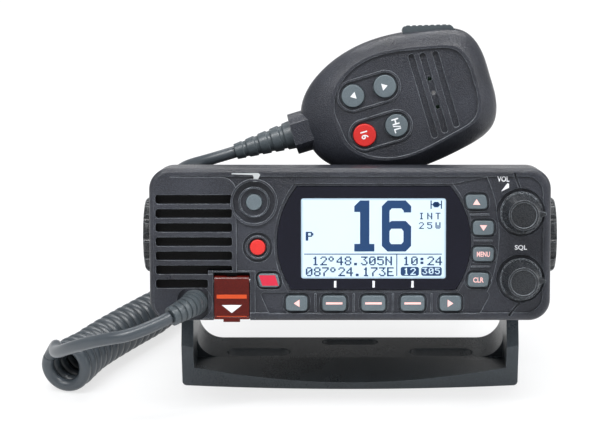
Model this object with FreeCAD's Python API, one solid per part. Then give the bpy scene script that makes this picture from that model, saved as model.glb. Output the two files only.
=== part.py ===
import FreeCAD, Part
import math
import os

V = FreeCAD.Vector

# Radio on its bracket. The radio's own frame has its origin on the pivot line,
# X to the right, Y to the back and Z to the top. It leans back by tilt_angle.
tilt_angle = 15.0
pivot_height = 60.0

# Mounting bracket
bracket_gap = 130.8
arm_thickness = 5.0
plate_thickness = 4.5
bracket_front = -24.5
bracket_back = 19.5
front_bow = 4.0
bend_radius = 10.0
base_corner = 1.8
arm_head_radius = 12.0
arm_shoulder_height = 9.4
arm_neck_height = 34.0
apron_back = -1.5
apron_front_height = 2.9
apron_radius = 349.0
slot_length = 27.5
slot_width = 8.0
slot_offset_x = 39.2
slot_offset_y = 3.4
rear_slot_offset_y = 14.2
rear_slot_width = 6.0
rear_slot_length = 24.6
bracket_hole_radius = 3.2

# Bracket knobs
bracket_knob_radius = 15.5
bracket_knob_width = 14.9
bracket_knob_flutes = 12
flute_radius = 2.2
clamp_screw_radius = 2.5
washer_radius = 9.0
washer_thickness = 1.2

# Front panel
panel_width = 160.0
panel_height = 61.0
panel_front = -44.0
panel_depth = 24.0
panel_corner = 8.5
panel_edge_round = 2.2
panel_wall = 2.5
rim_width = 3.2
face_step = 0.7
gasket_thickness = 1.0

# Speaker block and its slots
block_left = -78.2
block_right = -45.2
block_top = 27.0
block_bottom = -29.4
block_corner = 6.0
slot_pitch = 5.63
slot_height = 3.6
slot_count = 7
top_slot_z = 18.1
slot_left = -77.4
slot_corner = 1.0
slot_right = -46.9
last_slot_right = -56.6
speaker_x = -62.0
speaker_z = 3.0
speaker_radius = 13.2
speaker_depth = 9.0
net_thickness = 0.5

# Display
lens_top = 23.3
lens_bottom = -18.1
lens_left_bulge = -29.1
lens_left_top = -21.1
lens_left_bottom = -23.5
lens_right_bulge = 48.2
lens_right_top = 39.8
lens_right_bottom = 42.2
lens_thickness = 1.6
lens_bevel = 1.1
lens_bevel_depth = 0.45
view_center_x = 9.35
view_center_z = 2.5
view_width = 57.7
view_height = 32.1
view_margin = 0.8
glass_border = 2.4

# Keys
key_clearance = 0.25
key_proud = 1.3
key_travel = 0.8
key_flange = 0.7
flange_thickness = 1.0
flange_gap = 0.2
dome_gap = 0.2
key_corner = 1.6
key_edge_round = 0.45
band_depth = 0.6
key_surround = 1.0
side_key_width = 8.4
side_key_height = 5.6
side_key_places = {"key_up": (50.3, 17.1), "key_down": (53.1, 6.7),
                   "key_menu": (53.1, -3.8), "key_clear": (51.2, -14.1)}
side_key_slants = {"key_up": 1.0, "key_down": 0.0, "key_menu": 0.0, "key_clear": -0.8}
bottom_key_z = -23.5
bottom_key_height = 6.1
arrow_key_width = 8.7
soft_key_width = 9.6
left_key_x = -21.3
right_key_x = 40.1
soft_key_x = 9.35
soft_key_pitch = 15.65
rib_width = 0.7
rib_height = 7.6
scan_key_x = -32.4
scan_key_z = -14.3
scan_key_width = 8.4
scan_key_height = 5.5
scan_key_slant = 1.5
power_x = -36.8
power_z = -1.1
power_radius = 3.1
power_well_radius = 6.0
power_ring_radius = 4.8
call_x = -38.2
call_z = 16.9
call_radius = 3.2
call_well_radius = 8.5
call_ring_radius = 6.2
ring_thickness = 0.8
well_depth = 1.0
band_outer_top = (54.5, 27.0)
band_outer_mid = (59.3, 0.0)
band_outer_low = (50.9, -26.5)
bottom_band_low = -27.6
bottom_band_low_left = -32.4
bottom_band_low_right = 52.0
bottom_band_top_left = -36.2
bottom_band_top_right = 56.5
band_margin = 1.0
band_corner = 1.2
mat_thickness = 1.7

# Volume and squelch
knob_x = 68.0
volume_z = 12.9
squelch_z = -13.6
knob_radius = 8.4
knob_face_radius = 5.9
knob_height = 14.0
knob_gap = 0.4
knob_flutes = 18
knob_well_radius = 9.6
knob_skirt = 2.2
knob_seams = [((65.3, 28.6), (68.1, 21.0)), ((68.6, -22.0), (63.4, -28.6))]
seam_width = 1.0
seam_depth = 0.6
shaft_radius = 3.0
shaft_clearance = 0.06
shaft_length_in_knob = 9.0
control_radius = 7.0
control_bush_radius = 4.2
control_bush_clearance = 0.1

# Distress cover
cover_left = -54.2
cover_right = -40.2
cover_low = -30.9
cover_thickness = 1.8
cover_proud = 0.5
hinge_z = -14.6
hinge_depth = 1.4
pin_radius = 0.8
cover_clearance = 0.35
cover_pocket_depth = 5.0
pocket_floor_thickness = 1.5
pocket_wall = 2.0
pocket_brow = 0.9
distress_button_radius = 4.0
distress_button_z = -22.8
spring_length = 3.5
spring_outer_radius = 1.45
lip_width = 6.6
lip_drop = 0.9

# Chassis
flange_depth = 3.0
flange_inset = 1.0
chassis_arm_gap = 3.4
chassis_top = 25.4
chassis_bottom = -25.0
chassis_back = 50.0
chassis_wall = 3.0
chassis_corner = 3.0
back_wall = 7.0
fin_groove_depth = 4.0
fin_groove_width = 3.4
fin_pitch = 7.0
washer_play = 0.1
boss_radius = 11.0
insert_radius = 4.0
insert_length = 10.0
screw_clearance = 0.05
socket_x = 34.0
socket_z = 2.0
socket_flange = 25.4
socket_flange_thickness = 1.6
socket_barrel_radius = 7.9
socket_barrel_length = 13.0
socket_bore_radius = 5.6
socket_mouth_depth = 6.0
socket_seat_radius = 5.0
socket_pin_radius = 1.95
socket_hole_offset = 9.1
socket_hole_radius = 1.6
pad_radius = 19.0
cable_x = -34.0
cable_gland_radius = 7.0
cable_hole_radius = 3.0

# Boards and screws
board_thickness = 1.6
board_side_gap = 4.0
main_board_front = -10.0
main_board_back = 40.0
board_post_height = 2.4
post_radius = 2.6
panel_posts = [(-28.5, 26.5), (60.0, 26.5), (60.0, -26.5), (-31.0, -26.0)]
screw_radius = 1.5
screw_head_radius = 2.75
screw_head_height = 1.9
case_screw_x = 73.0
case_screw_z = 23.6
case_screw_length = 12.0
case_boss_radius = 3.4
board_screw_length = 5.2
shield_left = -42.0
shield_right = 6.0
shield_front = 4.0
shield_back = 34.0
shield_height = 9.0
shield_wall = 0.6

# Cord leaving the panel
gland_x = -62.1
gland_z = -23.3
gland_well_radius = 7.2
gland_well_depth = 0.8
boot_radius = 5.3
boot_tip_radius = 3.9
boot_neck_radius = 3.9
boot_rings = 8
boot_core_ratio = 0.86
boot_straight = 6.5
boot_tip = (-70.5, -55.5, -27.3)
ring_share = 0.62
ring_edge = 0.08

# Fist microphone, in its own frame: A along it, B to the talk button's side, C to the front
mic_x = 19.3
mic_y = -1.0
mic_z = 55.0
mic_turn = 16.8
mic_outer = [(-40.0, 0.0), (-37.4, 11.4), (-23.9, 22.8), (-2.0, 28.1), (22.0, 25.6),
             (36.2, 19.6), (40.2, 9.0), (40.4, 0.0)]
mic_inner = [(-26.8, 0.0), (-25.4, 9.6), (-16.0, 18.9), (-2.0, 22.2), (20.0, 18.8),
             (31.0, 14.4), (33.9, 7.0), (34.2, 0.0)]
mic_front_height = 12.5
mic_rear_height = 15.0
mic_face_recess = 1.0
mic_rim = 0.955
mic_cavity_front = 0.92
mic_cavity_rear = 0.82
mic_cavity_top = 9.8
mic_cavity_bottom = -12.5
mic_key_radius = 4.7
mic_key_proud = 1.2
mic_key_flange = 0.4
mic_key_far = -16.4
mic_key_near = -2.7
mic_key_row = 8.4
mic_key_places = {"mic_key_down": (mic_key_far, mic_key_row), "mic_key_up": (mic_key_near, mic_key_row),
                  "mic_key_channel": (mic_key_far, -mic_key_row),
                  "mic_key_power": (mic_key_near, -mic_key_row)}
mic_key_ridge = 1.9
mic_ridge_width = 0.8
mic_ridge_height = 0.6
mic_well_depth = 0.3
mic_groove_places = (11.2, 15.8, 21.0)
mic_groove_width = 2.7
mic_groove_half_length = 18.0
mic_groove_depth = 1.3
mic_groove_taper = 0.18
mic_board_face = 7.6
mic_capsule_a = 15.8
mic_capsule_radius = 4.8
collar_end = -45.0
collar_start = -33.0
collar_radius = 8.6
collar_flat = 7.4
mic_boot_length = 25.0
mic_boot_radius = 6.0
mic_boot_rings = 5
mic_boot_core_ratio = 0.88
mic_boot_plug = 4.0
talk_start = 10.9
talk_end = 31.6
talk_edge_start = 27.3
talk_edge_end = 21.7
talk_proud = 3.0
talk_ribs = 8
talk_rib_rise = 0.55
talk_front = 5.4
talk_rear = -8.0
talk_depth = 16.5
talk_clearance = 0.35
talk_travel = 1.2
stud_radius = 5.5
stud_neck_radius = 3.2
stud_neck = 2.6
stud_head = 2.0
stud_place = 2.0

# Curly cord
cord_diameter = 5.0
coil_diameter = 15.6
tip_gap = 0.3
lead_first_run = 16.0
lead_bend = [(-98.4, -66.5, 40.6), (-111.8, -56.0, 30.6), (-120.6, -42.5, 20.0)]
lead_end = (-122.6, -30.5, 12.6)
coil_route = [(-118.5, -28.0, 10.2), (-110.0, -6.0, 8.6), (-98.0, 16.0, 8.1), (-85.5, 38.0, 8.1),
              (-77.0, 62.0, 8.1), (-68.0, 85.0, 8.1)]
tail_floor = [(-61.0, 99.2, 5.6), (-47.4, 105.5, 3.2), (-33.1, 101.1, 2.9), (-25.2, 88.4, 2.9),
              (-28.0, 74.5, 2.9), (-40.0, 66.0, 4.5), (-53.5, 63.5, 10.0), (-65.0, 60.0, 19.0),
              (-71.5, 53.0, 31.0), (-74.0, 45.0, 43.5)]
tail_on_radio = [(-75.5, 35.0, 6.0), (-75.5, 27.0, 18.0), (-73.5, 16.0, 25.5), (-68.0, 5.5, 28.8)]

# Sizes that follow from the ones above
panel_back = panel_front + panel_depth
face_y = panel_front + face_step
band_y = face_y + band_depth
wall_y = panel_front + panel_wall + face_step
gasket_back = panel_back + gasket_thickness
flange_back = gasket_back + flange_depth
key_flange_front = wall_y + flange_gap
key_flange_back = key_flange_front + flange_thickness
mat_front = key_flange_back + key_travel + dome_gap
board_front = mat_front + mat_thickness
half_gap = bracket_gap / 2
chassis_half_width = half_gap - chassis_arm_gap
main_board_half_width = chassis_half_width - chassis_wall - board_side_gap
boss_face = half_gap - washer_thickness - washer_play
bracket_half = half_gap + arm_thickness
arm_top = pivot_height + arm_head_radius
cover_front = face_y - cover_proud
hinge_y = cover_front + hinge_depth + cover_thickness / 2
hinge_top = hinge_z + hinge_depth + cover_thickness
pocket_floor = face_y + cover_pocket_depth


def box(x0, x1, y0, y1, z0, z1):
    return Part.makeBox(x1 - x0, y1 - y0, z1 - z0, V(x0, y0, z0))


def rod(start, end, radius, end_radius=None):
    """A rod between two points, tapered when a second radius is given."""
    a = V(*start)
    b = V(*end)
    if end_radius is None:
        return Part.makeCylinder(radius, (b - a).Length, a, b - a)
    return Part.makeCone(radius, end_radius, (b - a).Length, a, b - a)


def rod_y(x, z, radius, y0, y1, end_radius=None):
    return rod((x, y0, z), (x, y1, z), radius, end_radius)


def rounded_face(points, radii, to_space):
    """A flat face on a polygon whose corners are arcs. to_space turns (u, v) into a point."""
    if not isinstance(radii, (list, tuple)):
        radii = [radii] * len(points)
    edges = []
    ends = []
    for i, radius in enumerate(radii):
        corner = V(*points[i], 0)
        before = (V(*points[i - 1], 0) - corner)
        after = (V(*points[(i + 1) % len(points)], 0) - corner)
        before.normalize()
        after.normalize()
        half = before.getAngle(after) / 2
        if radius < 1e-6 or abs(half - math.pi / 2) < 1e-6:
            ends.append((corner, None, corner))
            continue
        reach = radius / math.tan(half)
        middle = before + after
        middle.normalize()
        crown = corner + middle * (radius / math.sin(half) - radius)
        ends.append((corner + before * reach, crown, corner + after * reach))
    for i, (arrive, crown, leave) in enumerate(ends):
        if crown is not None:
            edges.append(Part.Arc(to_space(arrive.x, arrive.y), to_space(crown.x, crown.y),
                                  to_space(leave.x, leave.y)).toShape())
        following = ends[(i + 1) % len(ends)][0]
        if (following - leave).Length > 1e-6:
            edges.append(Part.makeLine(to_space(leave.x, leave.y), to_space(following.x, following.y)))
    return Part.Face(Part.Wire(Part.__sortEdges__(edges)))


def prism_y(points, radii, y0, y1):
    """An outline in X and Z, carried from depth y0 to y1."""
    face = rounded_face(points, radii, lambda u, v: V(u, y0, v))
    return face.extrude(V(0, y1 - y0, 0))


def block_y(x0, x1, z0, z1, radius, y0, y1):
    return prism_y([(x0, z0), (x1, z0), (x1, z1), (x0, z1)], radius, y0, y1)


def slanted(cx, cz, width, height, slant):
    """Corners of a key whose top edge is moved left by slant and bottom edge right."""
    w = width / 2
    h = height / 2
    s = slant / 2
    return [(cx - w + s, cz - h), (cx + w + s, cz - h), (cx + w - s, cz + h), (cx - w - s, cz + h)]


def ring_y(x, z, outer, inner, y0, y1):
    return rod_y(x, z, outer, y0, y1).cut(rod_y(x, z, inner, y0 - 1, y1 + 1))


def soften(shape, radius, keep):
    """Round the edges for which keep(edge) is true."""
    edges = [e for e in shape.Edges if keep(e)]
    return shape.makeFillet(radius, edges)


def at_depth(y):
    return lambda e: all(abs(v.Y - y) < 1e-4 for v in e.Vertexes) and abs(e.CenterOfMass.y - y) < 1e-4


def on_radio(shape):
    """Carry a shape from the radio's frame to the bracket's."""
    moved = shape.copy()
    moved.rotate(V(0, 0, 0), V(1, 0, 0), -tilt_angle)
    moved.translate(V(0, 0, pivot_height))
    return moved


def radio_point(x, y, z):
    lean = math.radians(tilt_angle)
    return V(x, y * math.cos(lean) + z * math.sin(lean),
             pivot_height - y * math.sin(lean) + z * math.cos(lean))


def mic_place(shape):
    """Carry a shape from the microphone's frame (A, B, C) to the radio's frame."""
    moved = shape.copy()
    moved.rotate(V(0, 0, 0), V(1, 0, 0), 90)
    moved.rotate(V(0, 0, 0), V(0, 1, 0), -mic_turn)
    moved.translate(V(mic_x, mic_y, mic_z))
    return on_radio(moved)


def mic_point(a, b, c):
    turn = math.radians(mic_turn)
    return radio_point(mic_x + a * math.cos(turn) - b * math.sin(turn), mic_y - c,
                       mic_z + a * math.sin(turn) + b * math.cos(turn))


def lines_over(start, finish, height):
    """The three sides that close a profile: up from start, across at a height, down to finish."""
    over_start = V(start.x, start.y, height)
    over_finish = V(finish.x, finish.y, height)
    return [Part.makeLine(start, over_start), Part.makeLine(over_start, over_finish),
            Part.makeLine(over_finish, finish)]


def mounting_bracket():
    outer = block_y(-bracket_half, bracket_half, 0, arm_top, [base_corner] * 2 + [0, 0],
                    bracket_front, bracket_back)
    inner = block_y(-half_gap, half_gap, plate_thickness, arm_top + 1, [bend_radius] * 2 + [0, 0],
                    bracket_front - 1, bracket_back + 1)
    shape = outer.cut(inner)
    swell = 2 * bend_radius
    lip_end = apron_front_height + half_gap ** 2 / (2 * apron_radius)
    start = V(-half_gap, bracket_front - 1, lip_end)
    finish = V(half_gap, bracket_front - 1, lip_end)
    lip = Part.Arc(start, V(0, bracket_front - 1, apron_front_height), finish).toShape()
    front_edges = [lip] + lines_over(finish, start, swell)
    start = V(-half_gap, apron_back, plate_thickness)
    finish = V(half_gap, apron_back, plate_thickness)
    back_edges = [Part.makeLine(start, finish)] + lines_over(finish, start, swell)
    scoop = Part.makeLoft([Part.Wire(front_edges), Part.Wire(back_edges)], True, True)
    apron = box(-half_gap - 1, half_gap + 1, bracket_front, apron_back, 0, lip_end).cut(scoop)
    shape = shape.cut(scoop).fuse(apron)
    side = rounded_face([(bracket_front - 1, -1), (bracket_front - 1, arm_shoulder_height),
                         (-arm_head_radius, arm_neck_height), (-arm_head_radius, arm_top),
                         (arm_head_radius, arm_top), (arm_head_radius, arm_neck_height),
                         (bracket_back, arm_shoulder_height), (bracket_back, -1)],
                        [0, 1.5, 30, arm_head_radius, arm_head_radius, 30, 10, 0],
                        lambda u, v: V(-bracket_half - 1, u, v))
    shape = shape.common(side.extrude(V(2 * bracket_half + 2, 0, 0)))
    back = V(0, bracket_back, -1)
    left = V(-bracket_half - 1, bracket_front + front_bow, -1)
    right = V(bracket_half + 1, bracket_front + front_bow, -1)
    bow = Part.Arc(left, V(0, bracket_front, -1), right).toShape()
    far_left = V(left.x, back.y, -1)
    far_right = V(right.x, back.y, -1)
    plan = Part.Face(Part.Wire([bow, Part.makeLine(right, far_right), Part.makeLine(far_right, far_left),
                                Part.makeLine(far_left, left)]))
    shape = shape.common(plan.extrude(V(0, 0, arm_top + 2)))
    for x, y, length, width in ((-slot_offset_x, slot_offset_y, slot_length, slot_width),
                                (slot_offset_x, slot_offset_y, slot_length, slot_width),
                                (0, rear_slot_offset_y, rear_slot_length, rear_slot_width)):
        half = length / 2
        r = width / 2
        slot = rounded_face([(x - half, y - r), (x + half, y - r), (x + half, y + r), (x - half, y + r)],
                            r, lambda u, v: V(u, v, -1))
        shape = shape.cut(slot.extrude(V(0, 0, 3 * plate_thickness)))
    hole = rod((-bracket_half - 1, 0, pivot_height), (bracket_half + 1, 0, pivot_height), bracket_hole_radius)
    shape = shape.cut(hole).removeSplitter()
    return shape


def front_panel():
    half_w = panel_width / 2
    half_h = panel_height / 2
    shape = block_y(-half_w, half_w, -half_h, half_h, panel_corner, panel_front, panel_back)
    shape = soften(shape, panel_edge_round, at_depth(panel_front))
    inner_corner = panel_corner - panel_wall
    shape = shape.cut(block_y(-half_w + panel_wall, half_w - panel_wall, -half_h + panel_wall,
                              half_h - panel_wall, inner_corner, wall_y, panel_back + 1))
    stepped = block_y(-half_w + rim_width, half_w - rim_width, -half_h + rim_width, half_h - rim_width,
                      panel_corner - rim_width / 2, panel_front - 1, face_y)
    shape = shape.cut(stepped)
    block = block_y(block_left, block_right, block_bottom, block_top, block_corner, panel_front, wall_y)
    shape = shape.fuse(block)
    for i in range(slot_count):
        z = top_slot_z - i * slot_pitch
        right = last_slot_right if i == slot_count - 1 else slot_right
        shape = shape.cut(block_y(slot_left, right, z - slot_height / 2, z + slot_height / 2,
                                  slot_corner, panel_front - 1, wall_y + 1))
    for x, z in panel_posts:
        shape = shape.fuse(rod_y(x, z, post_radius, wall_y - 0.5, board_front))
    for x in (-case_screw_x, case_screw_x):
        for z in (-case_screw_z, case_screw_z):
            boss = rod_y(x, z, case_boss_radius, wall_y - 0.5, panel_back)
            shape = shape.fuse(boss)
            shape = shape.cut(rod_y(x, z, screw_radius + screw_clearance,
                                    gasket_back - case_screw_length, panel_back + 1))
    shape = shape.fuse(ring_y(call_x, call_z, call_well_radius + ring_thickness, call_well_radius,
                              panel_front - 0.3, wall_y))
    for x, z, well, ring, bore in ((call_x, call_z, call_well_radius, call_ring_radius, call_radius),
                                   (power_x, power_z, power_well_radius, power_ring_radius, power_radius)):
        shape = shape.cut(rod_y(x, z, well, panel_front - 1, face_y + well_depth))
        shape = shape.fuse(ring_y(x, z, ring, ring - ring_thickness, face_y - 0.2, face_y + well_depth + 0.5))
        shape = shape.cut(rod_y(x, z, bore + key_clearance, panel_front - 1, wall_y + 1))
    band = crescent_band()
    low = prism_y([(bottom_band_low_left, bottom_band_low), (bottom_band_low_right, bottom_band_low),
                   (bottom_band_top_right, lens_bottom - band_margin),
                   (bottom_band_top_left, lens_bottom - band_margin)], band_corner, panel_front - 1, band_y)
    shape = shape.cut(band).cut(low)
    for x in bottom_rib_places():
        shape = shape.fuse(block_y(x - rib_width / 2, x + rib_width / 2, bottom_key_z - rib_height / 2,
                                   bottom_key_z + rib_height / 2, rib_width * 0.45, face_y, band_y + 0.5))
    for x, z in side_rib_places():
        shape = shape.fuse(block_y(x - rib_height / 2, x + rib_height / 2, z - rib_width / 2,
                                   z + rib_width / 2, rib_width * 0.45, face_y, band_y + 0.5))
    shape = shape.cut(lens_prism(lens_bevel, panel_front - 1, face_y + lens_bevel_depth))
    shape = shape.cut(lens_prism(key_clearance / 2, panel_front - 1, face_y + lens_thickness))
    for start, end in knob_seams:
        shape = shape.cut(groove(start, end, seam_width, face_y + seam_depth))
    half_view = view_width / 2 + view_margin
    half_tall = view_height / 2 + view_margin
    shape = shape.cut(block_y(view_center_x - half_view, view_center_x + half_view,
                              view_center_z - half_tall, view_center_z + half_tall, 1.0,
                              panel_front, wall_y + 1))
    for name, points in key_outlines().items():
        shape = shape.cut(prism_y(grown(points, key_surround), key_corner + key_surround,
                                  panel_front - 1, band_y + 0.5))
        shape = shape.cut(prism_y(grown(points, key_clearance), key_corner + key_clearance,
                                  panel_front - 1, wall_y + 1))
    for z in (volume_z, squelch_z):
        shape = shape.cut(rod_y(knob_x, z, knob_well_radius, panel_front - 1, face_y + well_depth))
        shape = shape.cut(rod_y(knob_x, z, control_bush_radius + control_bush_clearance,
                                panel_front - 1, wall_y + 1))
    shape = shape.cut(rod_y(gland_x, gland_z, gland_well_radius, panel_front - 1, face_y + gland_well_depth))
    shape = shape.cut(rod_y(gland_x, gland_z, boot_neck_radius, panel_front - 1, wall_y + 1))
    side_gap = cover_clearance
    floor_back = pocket_floor + pocket_floor_thickness
    well = box(cover_left - side_gap - pocket_wall, cover_right + side_gap + pocket_wall,
               panel_front + 0.2, floor_back, -half_h + 0.3, hinge_top + pocket_brow)
    pocket = box(cover_left - side_gap, cover_right + side_gap, panel_front - 2, pocket_floor,
                 -half_h - 1, hinge_top + 0.3)
    shape = shape.fuse(well.common(block_y(-half_w, half_w, -half_h, half_h, panel_corner,
                                           panel_front, panel_back)))
    shape = shape.cut(pocket)
    cover_x = (cover_left + cover_right) / 2
    shape = shape.cut(rod_y(cover_x, distress_button_z, distress_button_radius + key_clearance,
                            pocket_floor - 1, floor_back + 1))
    pin_end = 1.6
    shape = shape.cut(rod((cover_left - side_gap - pin_end, hinge_y, hinge_z),
                          (cover_right + side_gap + pin_end, hinge_y, hinge_z), pin_radius + 0.02))
    return shape.removeSplitter()


def groove(start, end, width, floor_y):
    """A straight groove in the panel's face between two points."""
    along = V(end[0] - start[0], 0, end[1] - start[1])
    across = along.cross(V(0, 1, 0)).normalize() * (width / 2)
    corners = [(p[0] + side * across.x, p[1] + side * across.z) for p, side in
               ((start, -1), (end, -1), (end, 1), (start, 1))]
    return prism_y(corners, 0.2, panel_front - 1, floor_y)


def lens_prism(grow, y0, y1):
    """The display lens outline: bulged left and right sides between level top and bottom edges."""
    top = lens_top + grow
    low = lens_bottom - grow
    middle = (lens_top + lens_bottom) / 2
    left = Part.Arc(V(lens_left_top - grow, y0, top), V(lens_left_bulge - grow, y0, middle),
                    V(lens_left_bottom - grow, y0, low)).toShape()
    right = Part.Arc(V(lens_right_bottom + grow, y0, low), V(lens_right_bulge + grow, y0, middle),
                     V(lens_right_top + grow, y0, top)).toShape()
    base = Part.makeLine(V(lens_left_bottom - grow, y0, low), V(lens_right_bottom + grow, y0, low))
    crown = Part.makeLine(V(lens_right_top + grow, y0, top), V(lens_left_top - grow, y0, top))
    return Part.Face(Part.Wire([left, base, right, crown])).extrude(V(0, y1 - y0, 0))


def crescent_band():
    """The sunk band that carries the four keys to the right of the lens."""
    y0 = panel_front - 1
    outer_points = (band_outer_top, band_outer_mid, band_outer_low)
    outer_top, outer_mid, outer_low = [V(x, y0, z) for x, z in outer_points]
    inner_top = V(lens_right_top + band_margin, y0, lens_top + band_margin)
    inner_mid = V(lens_right_bulge + band_margin, y0, (lens_top + lens_bottom) / 2)
    inner_low = V(lens_right_bottom + band_margin, y0, lens_bottom - band_margin)
    outer = Part.Arc(outer_top, outer_mid, outer_low).toShape()
    inner = Part.Arc(inner_low, inner_mid, inner_top).toShape()
    edge = [outer, Part.makeLine(outer_low, inner_low), inner, Part.makeLine(inner_top, outer_top)]
    return Part.Face(Part.Wire(edge)).extrude(V(0, band_y - y0, 0))


def grown(points, amount):
    """Push the corners of a four-sided key outline outwards."""
    cx = sum(p[0] for p in points) / len(points)
    cz = sum(p[1] for p in points) / len(points)
    return [(x + math.copysign(amount, x - cx), z + math.copysign(amount, z - cz)) for x, z in points]


def key_outlines():
    outlines = {}
    for name, (x, z) in side_key_places.items():
        outlines[name] = slanted(x, z, side_key_width, side_key_height, side_key_slants[name])
    outlines["key_left"] = slanted(left_key_x, bottom_key_z, arrow_key_width, bottom_key_height, 0)
    outlines["key_right"] = slanted(right_key_x, bottom_key_z, arrow_key_width, bottom_key_height, 0)
    for step, name in ((-1, "soft_key_left"), (0, "soft_key_middle"), (1, "soft_key_right")):
        outlines[name] = slanted(soft_key_x + step * soft_key_pitch, bottom_key_z, soft_key_width,
                                 bottom_key_height, 0)
    outlines["scan_key"] = slanted(scan_key_x, scan_key_z, scan_key_width, scan_key_height, scan_key_slant)
    return outlines


def bottom_rib_places():
    places = [left_key_x] + [soft_key_x + s * soft_key_pitch for s in (-1, 0, 1)] + [right_key_x]
    return [(a + b) / 2 for a, b in zip(places, places[1:])]


def side_rib_places():
    places = list(side_key_places.values())
    return [((a[0] + b[0]) / 2, (a[1] + b[1]) / 2) for a, b in zip(places, places[1:])]


def key_cap(points, corner):
    """A key: domed cap, stem through the panel wall and a flange behind it."""
    crown = band_y - key_proud
    cap = soften(prism_y(points, corner, crown, key_flange_front), key_edge_round, at_depth(crown))
    flange = prism_y(grown(points, key_flange), corner, key_flange_front, key_flange_back)
    return cap.fuse(flange).removeSplitter()


def round_key(x, z, radius, crown, flange_front):
    cap = soften(rod_y(x, z, radius, crown, flange_front), key_edge_round, at_depth(crown))
    flange = rod_y(x, z, radius + key_flange, flange_front, flange_front + flange_thickness)
    return cap.fuse(flange).removeSplitter()


def control_knob(z):
    """A fluted, tapered knob with a pointer at its right side and a bore for its shaft."""
    skirt_y = face_y - knob_gap
    top_y = skirt_y - knob_height
    flank_y = skirt_y - knob_skirt
    body = rod_y(knob_x, z, knob_radius, flank_y, skirt_y)
    body = body.fuse(rod((knob_x, flank_y, z), (knob_x, top_y, z), knob_radius - 0.5, knob_face_radius))
    for i in range(knob_flutes):
        angle = 2 * math.pi * (i + 0.5) / knob_flutes
        c = math.cos(angle)
        s = math.sin(angle)
        low = knob_radius + 0.15
        high = knob_face_radius + 0.65
        body = body.cut(rod((knob_x + low * c, flank_y + 0.01, z + low * s),
                            (knob_x + high * c, top_y - 1, z + high * s), 0.85))
    pointer = prism_y([(knob_x + knob_face_radius - 1, z - 1.6), (knob_x + knob_radius + 0.9, z - 0.5),
                       (knob_x + knob_radius + 0.9, z + 0.5), (knob_x + knob_face_radius - 1, z + 1.6)],
                      0.3, flank_y - 7.0, skirt_y)
    body = body.fuse(pointer)
    face_dish = rod_y(knob_x, z, knob_face_radius - 0.9, top_y - 1, top_y + 0.5)
    bore = rod_y(knob_x, z, shaft_radius, skirt_y - shaft_length_in_knob, skirt_y + 1)
    hollow = ring_y(knob_x, z, knob_radius - 1.4, shaft_radius + 1.6, skirt_y - 1.6, skirt_y + 1)
    return body.cut(face_dish).cut(bore).cut(hollow).removeSplitter()


def control_shaft(z):
    skirt_y = face_y - knob_gap
    return rod_y(knob_x, z, shaft_radius, skirt_y - shaft_length_in_knob, board_front - 1.0)


def rotary_controls():
    """The two turning controls: a threaded bush through the panel and a can on the front board."""
    solids = []
    for z in (volume_z, squelch_z):
        can = rod_y(knob_x, z, control_radius, wall_y + 0.1, board_front)
        bush = rod_y(knob_x, z, control_bush_radius, face_y + 0.3, wall_y + 0.5)
        bore = rod_y(knob_x, z, shaft_radius + shaft_clearance, panel_front - 5, board_front - 0.9)
        solids.append(can.fuse(bush).cut(bore).removeSplitter())
    return Part.makeCompound(solids)


def distress_cover():
    body = box(cover_left, cover_right, cover_front, cover_front + cover_thickness, cover_low + 1.0, hinge_z)
    body = body.fuse(rod((cover_left, hinge_y, hinge_z), (cover_right, hinge_y, hinge_z),
                         hinge_y - cover_front))
    mid = (cover_left + cover_right) / 2
    lip = box(mid - lip_width / 2, mid + lip_width / 2, cover_front - lip_drop, cover_front + cover_thickness,
              cover_low, cover_low + 1.8)
    rim = box(cover_left, cover_right, cover_front - 0.35, cover_front, cover_low + 1.0, cover_low + 2.0)
    body = body.fuse(lip).fuse(rim)
    reach = hinge_y - cover_front + 0.3
    notch = rod((mid - spring_length / 2 - 0.3, hinge_y, hinge_z),
                (mid + spring_length / 2 + 0.3, hinge_y, hinge_z), reach)
    front_skin = box(cover_left, cover_right, cover_front - 1, cover_front + 0.8, hinge_z - 4, hinge_top)
    body = body.cut(notch.cut(front_skin))
    body = body.cut(rod((cover_left - 1, hinge_y, hinge_z), (cover_right + 1, hinge_y, hinge_z),
                        pin_radius + 0.04))
    return body.removeSplitter()


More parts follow.
